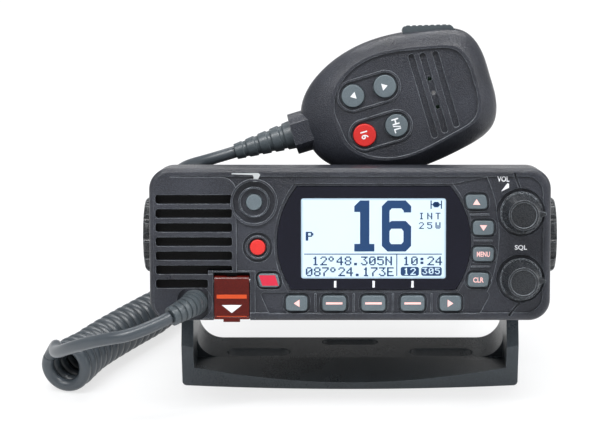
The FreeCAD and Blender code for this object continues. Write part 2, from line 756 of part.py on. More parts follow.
def rear_chassis():
    wide = chassis_half_width
    body = block_y(-wide, wide, chassis_bottom, chassis_top, chassis_corner, gasket_back, chassis_back)
    flange = block_y(-panel_width / 2 + flange_inset, panel_width / 2 - flange_inset,
                     -panel_height / 2 + flange_inset, panel_height / 2 - flange_inset,
                     panel_corner - flange_inset, gasket_back, flange_back)
    body = body.fuse(flange)
    for side in (-1, 1):
        body = body.fuse(rod((side * (wide - insert_length), 0, 0), (side * boss_face, 0, 0), boss_radius))
    cavity = block_y(-wide + chassis_wall, wide - chassis_wall, chassis_bottom + chassis_wall,
                     chassis_top - chassis_wall, 1.5, gasket_back - 1, chassis_back - back_wall)
    body = body.cut(cavity)
    for side in (-1, 1):
        post = rod((side * (boss_face - insert_length - 2), 0, 0), (side * (wide - 1), 0, 0),
                   insert_radius + 2.5)
        body = body.fuse(post)
        body = body.cut(rod((side * (boss_face - insert_length), 0, 0), (side * (boss_face + 1), 0, 0),
                            insert_radius))
    groove_y = chassis_back - fin_groove_depth
    count = int((wide - fin_pitch / 2) / fin_pitch)
    grooves = []
    for i in range(-count, count + 1):
        grooves.append(box(i * fin_pitch - fin_groove_width / 2, i * fin_pitch + fin_groove_width / 2,
                           groove_y, chassis_back + 1, chassis_bottom - 1, chassis_top + 1))
    comb = Part.makeCompound(grooves)
    for x in (socket_x, cable_x):
        comb = comb.cut(rod_y(x, socket_z, pad_radius, groove_y - 1, chassis_back + 2))
    body = body.cut(comb)
    floor = chassis_bottom + chassis_wall
    for x, y in board_post_places():
        body = body.fuse(rod((x, y, floor - 0.5), (x, y, floor + board_post_height), post_radius))
        body = body.cut(rod((x, y, floor + board_post_height - 4.0), (x, y, floor + 10),
                            screw_radius + screw_clearance))
    for x in (-case_screw_x, case_screw_x):
        for z in (-case_screw_z, case_screw_z):
            body = body.cut(rod_y(x, z, screw_radius + 0.2, gasket_back - 1, flange_back + 1))
    body = body.cut(rod_y(socket_x, socket_z, socket_bore_radius + 1.4, groove_y - 5, chassis_back + 1))
    body = body.cut(rod_y(cable_x, socket_z, cable_gland_radius - 1.5, groove_y - 5, chassis_back + 1))
    return body.removeSplitter()


def board_post_places():
    return [(x, y) for x in (-main_board_half_width + 5, main_board_half_width - 5)
            for y in (main_board_front + 5, main_board_back - 5)]


def panel_gasket():
    outer = block_y(-panel_width / 2 + flange_inset, panel_width / 2 - flange_inset,
                    -panel_height / 2 + flange_inset, panel_height / 2 - flange_inset,
                    panel_corner - flange_inset, panel_back, gasket_back)
    inner = block_y(-panel_width / 2 + panel_wall, panel_width / 2 - panel_wall,
                    -panel_height / 2 + panel_wall, panel_height / 2 - panel_wall,
                    panel_corner - panel_wall, panel_back - 1, gasket_back + 1)
    return outer.cut(inner)


def screw(start, end, head_side):
    """A pan-head screw whose shank runs from start to end, with its head before start."""
    a = V(*start)
    axis = (V(*end) - a)
    axis.normalize()
    shank = rod(start, end, screw_radius)
    head = soften(Part.makeCylinder(screw_head_radius, screw_head_height, a - axis * screw_head_height, axis),
                  0.6, lambda e: (e.CenterOfMass - (a - axis * screw_head_height)).Length < 0.2)
    recess = Part.makeCylinder(screw_head_radius * 0.4, head_side, a - axis * (screw_head_height + 0.1), axis)
    return shank.fuse(head).cut(recess).removeSplitter()


def case_screws():
    return Part.makeCompound([screw((x, flange_back, z), (x, gasket_back - case_screw_length + 0.5, z), 1.1)
                              for x in (-case_screw_x, case_screw_x) for z in (-case_screw_z, case_screw_z)])


def board_screws():
    top = chassis_bottom + chassis_wall + board_post_height + board_thickness
    return Part.makeCompound([screw((x, y, top), (x, y, top - board_screw_length), 1.1)
                              for x, y in board_post_places()])


def main_board():
    low = chassis_bottom + chassis_wall + board_post_height
    body = box(-main_board_half_width, main_board_half_width, main_board_front, main_board_back,
               low, low + board_thickness)
    for x, y in board_post_places():
        body = body.cut(rod((x, y, low - 1), (x, y, low + 5), screw_radius + 0.1))
    return body


def shield_can():
    low = chassis_bottom + chassis_wall + board_post_height + board_thickness
    outer = box(shield_left, shield_right, shield_front, shield_back, low, low + shield_height)
    inner = box(shield_left + shield_wall, shield_right - shield_wall, shield_front + shield_wall,
                shield_back - shield_wall, low - 1, low + shield_height - shield_wall)
    return outer.cut(inner)


def front_board():
    left = block_right + 1.5
    body = box(left, panel_width / 2 - panel_wall - 0.3, board_front, board_front + board_thickness,
               -panel_height / 2 + panel_wall + 0.2, panel_height / 2 - panel_wall - 0.2)
    body = body.cut(box(left - 1, cover_right + 6, board_front - 1, board_front + 3,
                        -panel_height, hinge_z + 6))
    for z in (-case_screw_z, case_screw_z):
        edge = math.copysign(abs(z) - case_boss_radius - 0.3, z)
        far = math.copysign(panel_height, z)
        body = body.cut(box(case_screw_x - case_boss_radius - 0.3, panel_width / 2, board_front - 1,
                            board_front + 3, min(edge, far), max(edge, far)))
    return body


def key_mat():
    """The rubber sheet between the keys and the front board, open behind the display."""
    left = cover_right + cover_clearance + pocket_wall + 0.3
    right = knob_x - control_radius - 0.3
    low = bottom_key_z - bottom_key_height / 2 - key_flange - 0.3
    body = box(left, right, mat_front, board_front, low, call_z + call_radius)
    half_w = view_width / 2 + glass_border + 0.3
    half_h = view_height / 2 + glass_border + 0.3
    body = body.cut(box(view_center_x - half_w, view_center_x + half_w, mat_front - 1, board_front + 1,
                        view_center_z - half_h, view_center_z + half_h))
    ears = box(call_x - call_radius - 1, left + 1, mat_front, board_front, power_z - power_radius - 1,
               call_z + call_radius)
    body = body.fuse(ears)
    for x, z in panel_posts[2:]:
        body = body.cut(rod_y(x, z, post_radius + 0.3, mat_front - 1, board_front + 1))
    return body.removeSplitter()


def lcd_panel():
    half_w = view_width / 2 + glass_border
    half_h = view_height / 2 + glass_border
    return box(view_center_x - half_w, view_center_x + half_w, wall_y + 0.1, board_front,
               view_center_z - half_h, view_center_z + half_h)


def speaker_frame():
    front = wall_y + net_thickness + 0.1
    ring = ring_y(speaker_x, speaker_z, speaker_radius, speaker_radius - 1.6, front, front + 1.2)
    basket = rod_y(speaker_x, speaker_z, speaker_radius - 0.6, front + 1.2, front + speaker_depth, 7.2)
    hollow = rod_y(speaker_x, speaker_z, speaker_radius - 1.6, front + 1.2, front + speaker_depth - 1, 6.0)
    magnet = rod_y(speaker_x, speaker_z, 7.0, front + speaker_depth - 0.5, front + speaker_depth + 4)
    return ring.fuse(basket.cut(hollow)).fuse(magnet).removeSplitter()


def speaker_cone():
    front = wall_y + net_thickness + 0.1
    radius = speaker_radius - 1.6
    outer = rod_y(speaker_x, speaker_z, radius, front + 0.6, front + speaker_depth - 2.0, 3.5)
    inner = rod_y(speaker_x, speaker_z, radius - 0.5, front + 0.5, front + speaker_depth - 2.6, 3.0)
    dust_cap = rod_y(speaker_x, speaker_z, 4.6, front + speaker_depth - 3.6, front + speaker_depth - 2.0)
    rest = rod_y(speaker_x, speaker_z, 3.0, front + speaker_depth - 2.2, front + speaker_depth - 1)
    return outer.cut(inner).fuse(dust_cap.common(outer)).fuse(rest).removeSplitter()


def speaker_net():
    body = block_y(-panel_width / 2 + panel_wall + 0.2, block_right, last_slot_low() - 0.6,
                   top_slot_z + slot_height / 2 + 0.2, 1,
                   wall_y, wall_y + net_thickness)
    body = body.cut(rod_y(call_x, call_z, call_radius + key_flange + 0.4, wall_y - 1, wall_y + 2))
    return body.cut(box(cover_left - cover_clearance - pocket_wall - 0.2, cover_right, wall_y - 1, wall_y + 2,
                        -panel_height, hinge_top + pocket_brow + 0.2))


def last_slot_low():
    return top_slot_z - (slot_count - 1) * slot_pitch - slot_height / 2


def thread_inserts():
    solids = []
    for side in (-1, 1):
        outer = rod((side * (boss_face - insert_length), 0, 0), (side * boss_face, 0, 0), insert_radius)
        bore = rod((side * (boss_face - insert_length - 1), 0, 0), (side * (boss_face + 1), 0, 0),
                   clamp_screw_radius + screw_clearance)
        solids.append(outer.cut(bore))
    return Part.makeCompound(solids)


def bracket_washers():
    solids = []
    for side in (-1, 1):
        start = side * boss_face
        end = side * (boss_face + washer_thickness)
        solids.append(rod((start, 0, 0), (end, 0, 0), washer_radius)
                      .cut(rod((start - side, 0, 0), (end + side, 0, 0), insert_radius)))
    return Part.makeCompound(solids)


def bracket_knob(side):
    """A fluted hand knob with its clamp screw, which runs through the arm into the insert."""
    start = side * (bracket_half + 0.2)
    end = start + side * bracket_knob_width
    hub = rod((start, 0, 0), (end, 0, 0), bracket_knob_radius)
    hub = soften(hub, 1.6, lambda e: abs(e.CenterOfMass.x - end) < 1e-4 and len(e.Vertexes) == 1)
    for i in range(bracket_knob_flutes):
        angle = 2 * math.pi * i / bracket_knob_flutes
        y = (bracket_knob_radius + 0.9) * math.cos(angle)
        z = (bracket_knob_radius + 0.9) * math.sin(angle)
        hub = hub.cut(rod((start + side * 3.0, y, z), (end + side, y, z), flute_radius))
    dish = rod((end - side * 2.0, 0, 0), (end + side, 0, 0), bracket_knob_radius - 4.5)
    back = rod((start - side, 0, 0), (start + side * 3.5, 0, 0), bracket_knob_radius - 2.5)
    core = rod((start - side, 0, 0), (start + side * 3.5, 0, 0), 7.0)
    shank = rod((side * (boss_face - insert_length + 1), 0, 0), (start + side * 2, 0, 0), clamp_screw_radius)
    return hub.cut(dish).cut(back.cut(core)).fuse(shank).removeSplitter()


def antenna_socket():
    half = socket_flange / 2
    flange = block_y(socket_x - half, socket_x + half, socket_z - half, socket_z + half, 2.0,
                     chassis_back, chassis_back + socket_flange_thickness)
    barrel = rod_y(socket_x, socket_z, socket_barrel_radius, chassis_back + socket_flange_thickness,
                   chassis_back + socket_barrel_length)
    tail = rod_y(socket_x, socket_z, socket_bore_radius + 1.3, chassis_back - back_wall - 2, chassis_back)
    body = flange.fuse(barrel).fuse(tail)
    mouth = chassis_back + socket_barrel_length - socket_mouth_depth
    body = body.cut(rod_y(socket_x, socket_z, socket_seat_radius, chassis_back - back_wall - 3, mouth + 1))
    body = body.cut(rod_y(socket_x, socket_z, socket_bore_radius, mouth,
                          chassis_back + socket_barrel_length + 1))
    for sx in (-1, 1):
        for sz in (-1, 1):
            body = body.cut(rod_y(socket_x + sx * socket_hole_offset, socket_z + sz * socket_hole_offset,
                                  socket_hole_radius, chassis_back - 1, chassis_back + 3))
    return body.removeSplitter()


def antenna_insulator():
    body = rod_y(socket_x, socket_z, socket_seat_radius, chassis_back - back_wall - 2,
                 chassis_back + socket_barrel_length - socket_mouth_depth)
    bore = rod_y(socket_x, socket_z, socket_pin_radius, chassis_back + 1,
                 chassis_back + socket_barrel_length)
    return body.cut(bore)


def rear_cable_gland():
    flange = rod_y(cable_x, socket_z, cable_gland_radius, chassis_back, chassis_back + 3.0)
    neck = rod_y(cable_x, socket_z, cable_gland_radius - 1.5, chassis_back - back_wall, chassis_back)
    nose = rod_y(cable_x, socket_z, cable_gland_radius - 1, chassis_back + 3.0, chassis_back + 9.0,
                 cable_hole_radius + 2.3)
    hole = rod_y(cable_x, socket_z, cable_hole_radius, chassis_back + 1, chassis_back + 10)
    return flange.fuse(neck).fuse(nose).cut(hole).removeSplitter()


def boot_point(t):
    """A point of the panel boot's centre line, from the panel face (0) to its tip (1)."""
    base = V(gland_x, panel_front + face_step, gland_z)
    bend = base + V(0, -boot_straight, 0)
    return base * (1 - t) ** 2 + bend * (2 * t * (1 - t)) + V(*boot_tip) * t ** 2


def boot_heading(t):
    base = V(gland_x, panel_front + face_step, gland_z)
    bend = base + V(0, -boot_straight, 0)
    return ((bend - base) * (1 - t) + (V(*boot_tip) - bend) * t).normalize()


def ringed_boot(point, heading, rings, radius, tip_radius, core_ratio):
    """A boot along a line: rings that shrink towards the tip, with slimmer grooves between them."""
    circles = []
    for i in range(rings):
        for step, ratio in ((0, 1), (ring_share, 1), (ring_share + ring_edge, core_ratio),
                            (1 - ring_edge, core_ratio)):
            if i == rings - 1 and step > ring_share:
                continue
            t = (i + step) / (rings - 1 + ring_share)
            r = (radius + (tip_radius - radius) * t) * ratio
            circles.append(Part.Wire(Part.makeCircle(r, point(t), heading(t))))
    return Part.makeLoft(circles, True, True)


def cord_gland():
    body = ringed_boot(boot_point, boot_heading, boot_rings, boot_radius, boot_tip_radius, boot_core_ratio)
    neck = rod_y(gland_x, gland_z, boot_neck_radius, panel_front + 0.5, wall_y + 2.5)
    stop = rod_y(gland_x, gland_z, boot_neck_radius + 0.7, wall_y, wall_y + 2.5)
    return body.fuse(neck).fuse(stop).removeSplitter()


def mic_wire(share, c, scale=1.0):
    """A closed outline between the outer (share 0) and inner (share 1) ones, at height c."""
    half = [(o[0] * (1 - share) + i[0] * share, o[1] * (1 - share) + i[1] * share)
            for o, i in zip(mic_outer, mic_inner)]
    points = half + [(a, -b) for a, b in reversed(half[1:-1])]
    centre = sum(p[0] for p in points) / len(points)
    curve = Part.BSplineCurve()
    curve.interpolate([V(centre + (a - centre) * scale, b * scale, c) for a, b in points], PeriodicFlag=True)
    return Part.Wire(curve.toShape())


def mic_prism(share, scale, c0, c1):
    return Part.Face(mic_wire(share, c0, scale)).extrude(V(0, 0, c1 - c0))


def collar(c0, c1):
    """The half of the cord collar that lies between two heights."""
    whole = rod((collar_end, 0, 0), (collar_start, 0, 0), collar_radius)
    whole = whole.common(box(collar_end, collar_start, -collar_radius, collar_radius,
                             -collar_flat, collar_flat))
    return whole.common(box(collar_end - 1, collar_start + 1, -collar_radius, collar_radius, c0, c1))


def talk_profile(grow, inner):
    """The talk button's outline in A and B, which follows the case's edge."""
    start = talk_start - grow
    end = talk_end + grow
    return rounded_face([(start, inner), (end, inner), (end, talk_edge_end + talk_proud + grow),
                         (start, talk_edge_start + talk_proud + grow)], [0.5, 0.5, 3.0, 2.0],
                        lambda u, v: V(u, v, 0))


def talk_block(grow, inner):
    face = talk_profile(grow, inner)
    body = face.extrude(V(0, 0, talk_front - talk_rear + 2 * grow))
    body.translate(V(0, 0, talk_rear - grow))
    return body


def mic_screw_places():
    return [(-24.0, 0.0), (28.0, 0.0)]


def key_pair_pad(b, radius, floor, height):
    """A rounded pad round one row of two microphone keys."""
    corners = [(mic_key_far - radius, b - radius), (mic_key_near + radius, b - radius),
               (mic_key_near + radius, b + radius), (mic_key_far - radius, b + radius)]
    return rounded_face(corners, radius * 0.98, lambda u, v: V(u, v, floor)).extrude(V(0, 0, height))


def mic_front_case():
    levels = [(0.0, 0.0), (0.0, 3.5), (0.1, 6.0), (0.45, 9.5), (0.8, 11.6), (1.0, mic_front_height)]
    shell = Part.makeLoft([mic_wire(share, c) for share, c in levels], True, False)
    shell = shell.fuse(collar(0, collar_flat))
    face = mic_front_height - mic_face_recess
    shell = shell.cut(mic_prism(1.0, mic_rim, face, mic_front_height + 1))
    for b in (mic_key_row, -mic_key_row):
        ridge = key_pair_pad(b, mic_key_radius + mic_key_ridge, face - 0.5, mic_ridge_height + 0.5)
        well = key_pair_pad(b, mic_key_radius + mic_key_ridge - mic_ridge_width, face - mic_well_depth, 3)
        shell = shell.fuse(ridge).cut(well)
    shell = shell.cut(mic_prism(1.0, mic_cavity_front, -1, mic_cavity_top))
    for a, b in mic_key_places.values():
        shell = shell.cut(rod((a, b, 5), (a, b, 20), mic_key_radius + key_clearance))
    for a in mic_groove_places:
        half = mic_groove_half_length - (a - mic_groove_places[0]) * mic_groove_taper
        slot = rounded_face([(a - mic_groove_width / 2, -half), (a + mic_groove_width / 2, -half),
                             (a + mic_groove_width / 2, half), (a - mic_groove_width / 2, half)], 1.2,
                            lambda u, v: V(u, v, face - mic_groove_depth)).extrude(V(0, 0, 4))
        shell = shell.cut(slot)
    for b in (-6, 0, 6):
        shell = shell.cut(rod((mic_capsule_a, b, 5), (mic_capsule_a, b, 20), 0.9))
    shell = shell.cut(talk_block(talk_clearance, talk_depth - talk_travel - 0.3))
    for a, b in mic_screw_places():
        post = rod((a, b, 0.0), (a, b, mic_cavity_top + 0.3), 2.6)
        shell = shell.fuse(post).cut(rod((a, b, -1), (a, b, 7.0), screw_radius + screw_clearance))
    shell = shell.cut(rod((collar_end - 1, 0, 0), (-20, 0, 0), mic_boot_radius * 0.6))
    return shell.removeSplitter()


def mic_rear_case():
    levels = [(0.0, 0.0), (0.0, -4.0), (0.12, -8.0), (0.4, -12.0), (0.75, -14.3), (0.95, -mic_rear_height)]
    shell = Part.makeLoft([mic_wire(share, c) for share, c in levels], True, False)
    shell = shell.fuse(collar(-collar_flat, 0))
    shell = shell.cut(mic_prism(1.0, mic_cavity_rear, mic_cavity_bottom, 1))
    shell = shell.cut(talk_block(talk_clearance, talk_depth - talk_travel - 0.3))
    for a, b in mic_screw_places():
        post = rod((a, b, -mic_rear_height + 1), (a, b, 0), 2.9)
        shell = shell.fuse(post)
        shell = shell.cut(rod((a, b, -20), (a, b, 1), screw_radius + screw_clearance))
        shell = shell.cut(rod((a, b, -20), (a, b, -mic_rear_height + screw_head_height + 1.0),
                              screw_head_radius + 0.1))
    shell = shell.cut(rod((collar_end - 1, 0, 0), (-20, 0, 0), mic_boot_radius * 0.6))
    stud_seat = rod((stud_place, 0, -mic_rear_height - 1), (stud_place, 0, -mic_rear_height + 1.2),
                    stud_neck_radius)
    return shell.cut(stud_seat).removeSplitter()


def mic_screws():
    start = -mic_rear_height + screw_head_height + 1.0
    return Part.makeCompound([screw((a, b, start), (a, b, 6.5), 1.1) for a, b in mic_screw_places()])


def mic_board():
    body = mic_prism(1.0, mic_cavity_front * 0.985, mic_board_face - board_thickness, mic_board_face)
    for a, b in mic_screw_places():
        body = body.cut(rod((a, b, 0), (a, b, 20), 2.8))
    body = body.cut(box(-45, -24, -5, 5, 0, 20))
    return body.cut(talk_block(talk_clearance + 0.2, talk_depth - talk_travel - 0.6))


def mic_capsule():
    return rod((mic_capsule_a, 0, mic_board_face), (mic_capsule_a, 0, mic_cavity_top - 0.1),
               mic_capsule_radius)


def mic_key(a, b):
    face = mic_front_height - mic_face_recess
    top = face + mic_key_proud
    under = mic_cavity_top - flange_gap
    cap = rod((a, b, under), (a, b, top), mic_key_radius)
    cap = soften(cap, key_edge_round, lambda e: abs(e.CenterOfMass.z - top) < 1e-4)
    return cap.fuse(rod((a, b, under - 0.7), (a, b, under), mic_key_radius + mic_key_flange)).removeSplitter()


def talk_button():
    body = talk_block(0, talk_depth)
    for i in range(talk_ribs):
        t = (i + 0.8) / (talk_ribs + 0.6)
        a = talk_start + (talk_end - talk_start) * t
        b = talk_edge_start + (talk_edge_end - talk_edge_start) * t + talk_proud + talk_rib_rise
        body = body.cut(rod((a, b, talk_rear - 1), (a, b, talk_front + 1), 0.9))
    return body.removeSplitter()


def mic_cord_boot():
    body = ringed_boot(lambda t: V(collar_end - mic_boot_length * t, 0, 0), lambda t: V(-1, 0, 0),
                       mic_boot_rings, mic_boot_radius, cord_diameter / 2 + 0.8, mic_boot_core_ratio)
    plug = rod((collar_end, 0, 0), (collar_end + mic_boot_plug, 0, 0), mic_boot_radius * 0.6 - 0.05)
    stop = rod((collar_end + mic_boot_plug, 0, 0), (-30, 0, 0), mic_boot_radius * 0.6 - 0.05)
    return body.fuse(plug).fuse(stop).removeSplitter()


def mic_hanger_stud():
    base = -mic_rear_height
    neck = rod((stud_place, 0, base + 1.2), (stud_place, 0, base - stud_neck), stud_neck_radius)
    head = rod((stud_place, 0, base - stud_neck), (stud_place, 0, base - stud_neck - stud_head), stud_radius,
               stud_radius - 0.6)
    return neck.fuse(head).removeSplitter()


def tube(points, radius, name):
    """A cord along straight runs joined by tangent arcs, as large as the runs allow."""
    edges = []
    last = points[0]
    radii = []
    for i in range(1, len(points) - 1):
        corner = points[i]
        into = corner - points[i - 1]
        onto = points[i + 1] - corner
        reach = 0.45 * min(into.Length, onto.Length)
        turn = into.getAngle(onto)
        into.normalize()
        onto.normalize()
        radii.append(reach / math.tan(turn / 2))
        arrive = corner - into * reach
        leave = corner + onto * reach
        inward = onto - into
        inward.normalize()
        crown = corner + inward * (radii[-1] / math.cos(turn / 2) - radii[-1])
        edges.append(Part.LineSegment(last, arrive).toShape())
        edges.append(Part.Arc(arrive, crown, leave).toShape())
        last = leave
    edges.append(Part.LineSegment(last, points[-1]).toShape())
    path = Part.Wire(edges)
    start = points[1] - points[0]
    profile = Part.Wire(Part.makeCircle(radius, points[0], start))
    body = path.makePipeShell([profile], True, False, 2)
    print(name, "length", round(path.Length, 1), "radii", [round(r, 1) for r in radii],
          "volume ratio", round(body.Volume / (math.pi * radius ** 2 * path.Length), 4))
    return body


def cord_lead():
    tip = V(*boot_tip)
    along = boot_heading(1)
    points = [radio_point(*(tip + along * tip_gap)), radio_point(*(tip + along * lead_first_run))]
    points += [V(*p) for p in lead_bend] + [V(*lead_end)]
    return tube(points, cord_diameter / 2, "lead")


def cord_coil():
    return tube([V(*p) for p in coil_route], coil_diameter / 2, "coil")


def cord_tail():
    end = mic_point(collar_end - mic_boot_length, 0, 0)
    near = mic_point(collar_end - mic_boot_length - 12.0, 0, 0)
    points = [V(*coil_route[-1])] + [V(*p) for p in tail_floor]
    points += [radio_point(*p) for p in tail_on_radio] + [near, end]
    return tube(points, cord_diameter / 2, "tail")


def build():
    radio_parts = {
        "front_panel": front_panel(), "panel_gasket": panel_gasket(), "rear_chassis": rear_chassis(),
        "display_window": lens_prism(-key_clearance / 2, face_y, face_y + lens_thickness),
        "lcd_panel": lcd_panel(), "front_board": front_board(), "main_board": main_board(),
        "shield_can": shield_can(), "key_mat": key_mat(), "speaker_frame": speaker_frame(),
        "speaker_cone": speaker_cone(), "speaker_net": speaker_net(), "case_screws": case_screws(),
        "board_screws": board_screws(), "antenna_socket": antenna_socket(),
        "antenna_insulator": antenna_insulator(), "rear_cable_gland": rear_cable_gland(),
        "rotary_controls": rotary_controls(), "volume_knob": control_knob(volume_z),
        "squelch_knob": control_knob(squelch_z), "volume_shaft": control_shaft(volume_z),
        "squelch_shaft": control_shaft(squelch_z), "thread_inserts": thread_inserts(),
        "bracket_washers": bracket_washers(), "left_bracket_knob": bracket_knob(-1),
        "right_bracket_knob": bracket_knob(1), "cord_gland": cord_gland(), "distress_cover": distress_cover(),
    }
    for name, points in key_outlines().items():
        radio_parts[name] = key_cap(points, key_corner)
    ring_crown = face_y - 0.3
    radio_parts["power_button"] = round_key(power_x, power_z, power_radius, ring_crown, key_flange_front)
    radio_parts["call_button"] = round_key(call_x, call_z, call_radius, ring_crown, key_flange_front)
    mid = (cover_left + cover_right) / 2
    behind = pocket_floor + pocket_floor_thickness + flange_gap
    radio_parts["distress_button"] = round_key(mid, distress_button_z, distress_button_radius,
                                               pocket_floor - 1.6, behind)
    reach = cover_clearance + 1.4
    radio_parts["distress_hinge_pin"] = rod((cover_left - reach, hinge_y, hinge_z),
                                            (cover_right + reach, hinge_y, hinge_z), pin_radius)
    radio_parts["distress_cover_spring"] = rod(
        (mid - spring_length / 2, hinge_y, hinge_z), (mid + spring_length / 2, hinge_y, hinge_z),
        spring_outer_radius).cut(rod((mid - spring_length, hinge_y, hinge_z),
                                     (mid + spring_length, hinge_y, hinge_z), pin_radius + 0.03))
    mic_parts = {
        "mic_front_case": mic_front_case(), "mic_rear_case": mic_rear_case(), "mic_screws": mic_screws(),
        "mic_board": mic_board(), "mic_capsule": mic_capsule(), "mic_hanger_stud": mic_hanger_stud(),
        "mic_cord_boot": mic_cord_boot(), "talk_button": talk_button(),
    }
    for name, (a, b) in mic_key_places.items():
        mic_parts[name] = mic_key(a, b)
    parts = {"mounting_bracket": mounting_bracket(), "cord_lead": cord_lead(), "cord_coil": cord_coil(),
             "cord_tail": cord_tail()}
    parts.update({name: on_radio(shape) for name, shape in radio_parts.items()})
    parts.update({name: mic_place(shape) for name, shape in mic_parts.items()})
    return parts


os.makedirs("parts", exist_ok=True)
for name, shape in build().items():
    print(name, shape.ShapeType, len(shape.Solids), "valid", shape.isValid(), "volume", round(shape.Volume, 1))
    shape.exportStep("parts/" + name + ".step")
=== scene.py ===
import math

import bpy
import numpy as np
from mathutils import Matrix


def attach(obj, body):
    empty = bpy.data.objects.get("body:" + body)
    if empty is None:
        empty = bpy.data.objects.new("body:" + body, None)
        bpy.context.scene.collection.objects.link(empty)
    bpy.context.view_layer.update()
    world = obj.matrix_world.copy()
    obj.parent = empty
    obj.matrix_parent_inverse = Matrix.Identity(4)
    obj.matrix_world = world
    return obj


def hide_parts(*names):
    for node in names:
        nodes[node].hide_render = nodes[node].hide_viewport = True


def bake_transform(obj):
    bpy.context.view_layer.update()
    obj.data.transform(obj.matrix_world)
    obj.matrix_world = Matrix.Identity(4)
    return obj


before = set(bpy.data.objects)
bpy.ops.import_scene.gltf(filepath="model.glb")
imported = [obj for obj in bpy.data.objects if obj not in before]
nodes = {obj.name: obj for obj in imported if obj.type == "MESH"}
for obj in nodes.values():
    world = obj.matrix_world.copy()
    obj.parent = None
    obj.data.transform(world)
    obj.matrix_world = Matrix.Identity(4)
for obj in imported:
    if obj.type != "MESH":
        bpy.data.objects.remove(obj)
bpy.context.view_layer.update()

millimetre = 0.001

# Camera: on the radio's middle line in front of it, looking 20 degrees down. The frame is taken as
# 600 x 435 pixels, and the shift puts the radio's middle 50 pixels right of the picture's.
look_down = math.radians(20)
picture_width = 600
middle_offset = 50
focal_pixels = 2010.05
sensor_width = 36.0
camera_place = (0, -0.79054, 0.35521)
camera = bpy.data.objects.new("camera", bpy.data.cameras.new("camera"))
camera.location = camera_place
camera.rotation_euler = (math.pi / 2 - look_down, 0, 0)
camera.data.sensor_fit = "HORIZONTAL"
camera.data.sensor_width = sensor_width
camera.data.lens = sensor_width * focal_pixels / picture_width
camera.data.shift_x = -middle_offset / picture_width
camera.data.clip_start = 0.01
bpy.context.collection.objects.link(camera)
bpy.context.scene.camera = camera
bpy.context.scene.view_settings.view_transform = "Standard"

# Radio: it hangs in its bracket by two clamp screws on one line, 60 mm above the base, and leans
# back by 15 degrees. Places on it are written in millimetres in its own frame: X right, Y back
# and Z up from that line.
lean = math.radians(15)
pivot_height = 60.0


def on_radio(points):
    """Turn each (x, y, z) by the lean about X, lift it to the pivot line and give metres."""
    x, y, z = np.asarray(points, float).T
    turned_y = y * math.cos(lean) + z * math.sin(lean)
    turned_z = pivot_height - y * math.sin(lean) + z * math.cos(lean)
    return np.stack([x, turned_y, turned_z], -1) * millimetre


# Microphone: it stands on the radio's top, turned in the plane of the panel. Its own frame has
# A along it, B towards the talk button and C out of its front.
mic_turn = math.radians(16.8)
mic_place = (19.3, -1.0, 55.0)


def on_mic(points):
    """Turn each (a, b, c) by the microphone's turn, move it to its place and carry it with the radio."""
    a, b, c = np.asarray(points, float).T
    x = mic_place[0] + a * math.cos(mic_turn) - b * math.sin(mic_turn)
    z = mic_place[2] + a * math.sin(mic_turn) + b * math.cos(mic_turn)
    return on_radio(np.stack([x, mic_place[1] - c, z], -1))


# Curly cord: a rubber cord 5 mm thick that leaves the panel through its boot, drops to the table, runs
# back in close turns beside the bracket and climbs behind the radio to the microphone. The class and
# the functions down to piece serve the pieces after it as well.
class Signal:
    """A socket of a material. Sums and products of signals and numbers add Math nodes to its tree."""

    def __init__(self, tree, socket):
        self.tree = tree
        self.socket = socket

    def node(self, kind, values=None, output=0, **settings):
        """Add a node, make its settings, give its sockets values or links, and return one output."""
        made = self.tree.nodes.new("ShaderNode" + kind)
        for name, value in settings.items():
            setattr(made, name, value)
        for name, value in (values or {}).items():
            if isinstance(value, Signal):
                self.tree.links.new(value.socket, made.inputs[name])
            else:
                made.inputs[name].default_value = value
        return Signal(self.tree, made.outputs[output])

    def math(self, operation, *others):
        return self.node("Math", dict(enumerate((self,) + others)), operation=operation)

    def __add__(self, other):
        return self.math("ADD", other)

    def __sub__(self, other):
        return self.math("SUBTRACT", other)

    def __rsub__(self, other):
        return self.node("Math", {0: other, 1: self}, operation="SUBTRACT")

    def __mul__(self, other):
        return self.math("MULTIPLY", other)

    __radd__ = __add__
    __rmul__ = __mul__

    def noise(self, size, detail=2.0, roughness=0.5):
        """Noise with clouds of about this size in millimetres, from 0 to 1."""
        return self.node("TexNoise", {"Vector": self, "Scale": 1 / (size * millimetre), "Detail": detail,
                                      "Roughness": roughness})

    def cells(self, size):
        """Distance to the middle of the nearest of many cells of this size in millimetres."""
        return self.node("TexVoronoi", {"Vector": self, "Scale": 1 / (size * millimetre)})

    def step(self, start, end):
        """0 below start, 1 above end, and smooth between."""
        return self.node("MapRange", {"Value": self, "From Min": start, "From Max": end},
                         interpolation_type="SMOOTHSTEP")

    def between(self, first, second):
        """The first colour where this is 0, the second where it is 1."""
        return self.node("Mix", {0: self, 6: first, 7: second}, output=2, data_type="RGBA")

    def bump(self, depth, strength=1.0, onto=None):
        """A normal that stands out by this height in millimetres where the signal is 1."""
        values = {"Height": self, "Distance": depth * millimetre, "Strength": strength}
        if onto is not None:
            values["Normal"] = onto
        return self.node("Bump", values)

    def axes(self):
        return [self.node("SeparateXYZ", {0: self}, output=place) for place in range(3)]


def colour(red, green, blue):
    """A screen colour, 0 to 255, as the linear light that Blender takes."""
    screen = np.array([red, green, blue]) / 255
    linear = np.where(screen <= 0.04045, screen / 12.92, ((screen + 0.055) / 1.055) ** 2.4)
    return tuple(linear) + (1.0,)


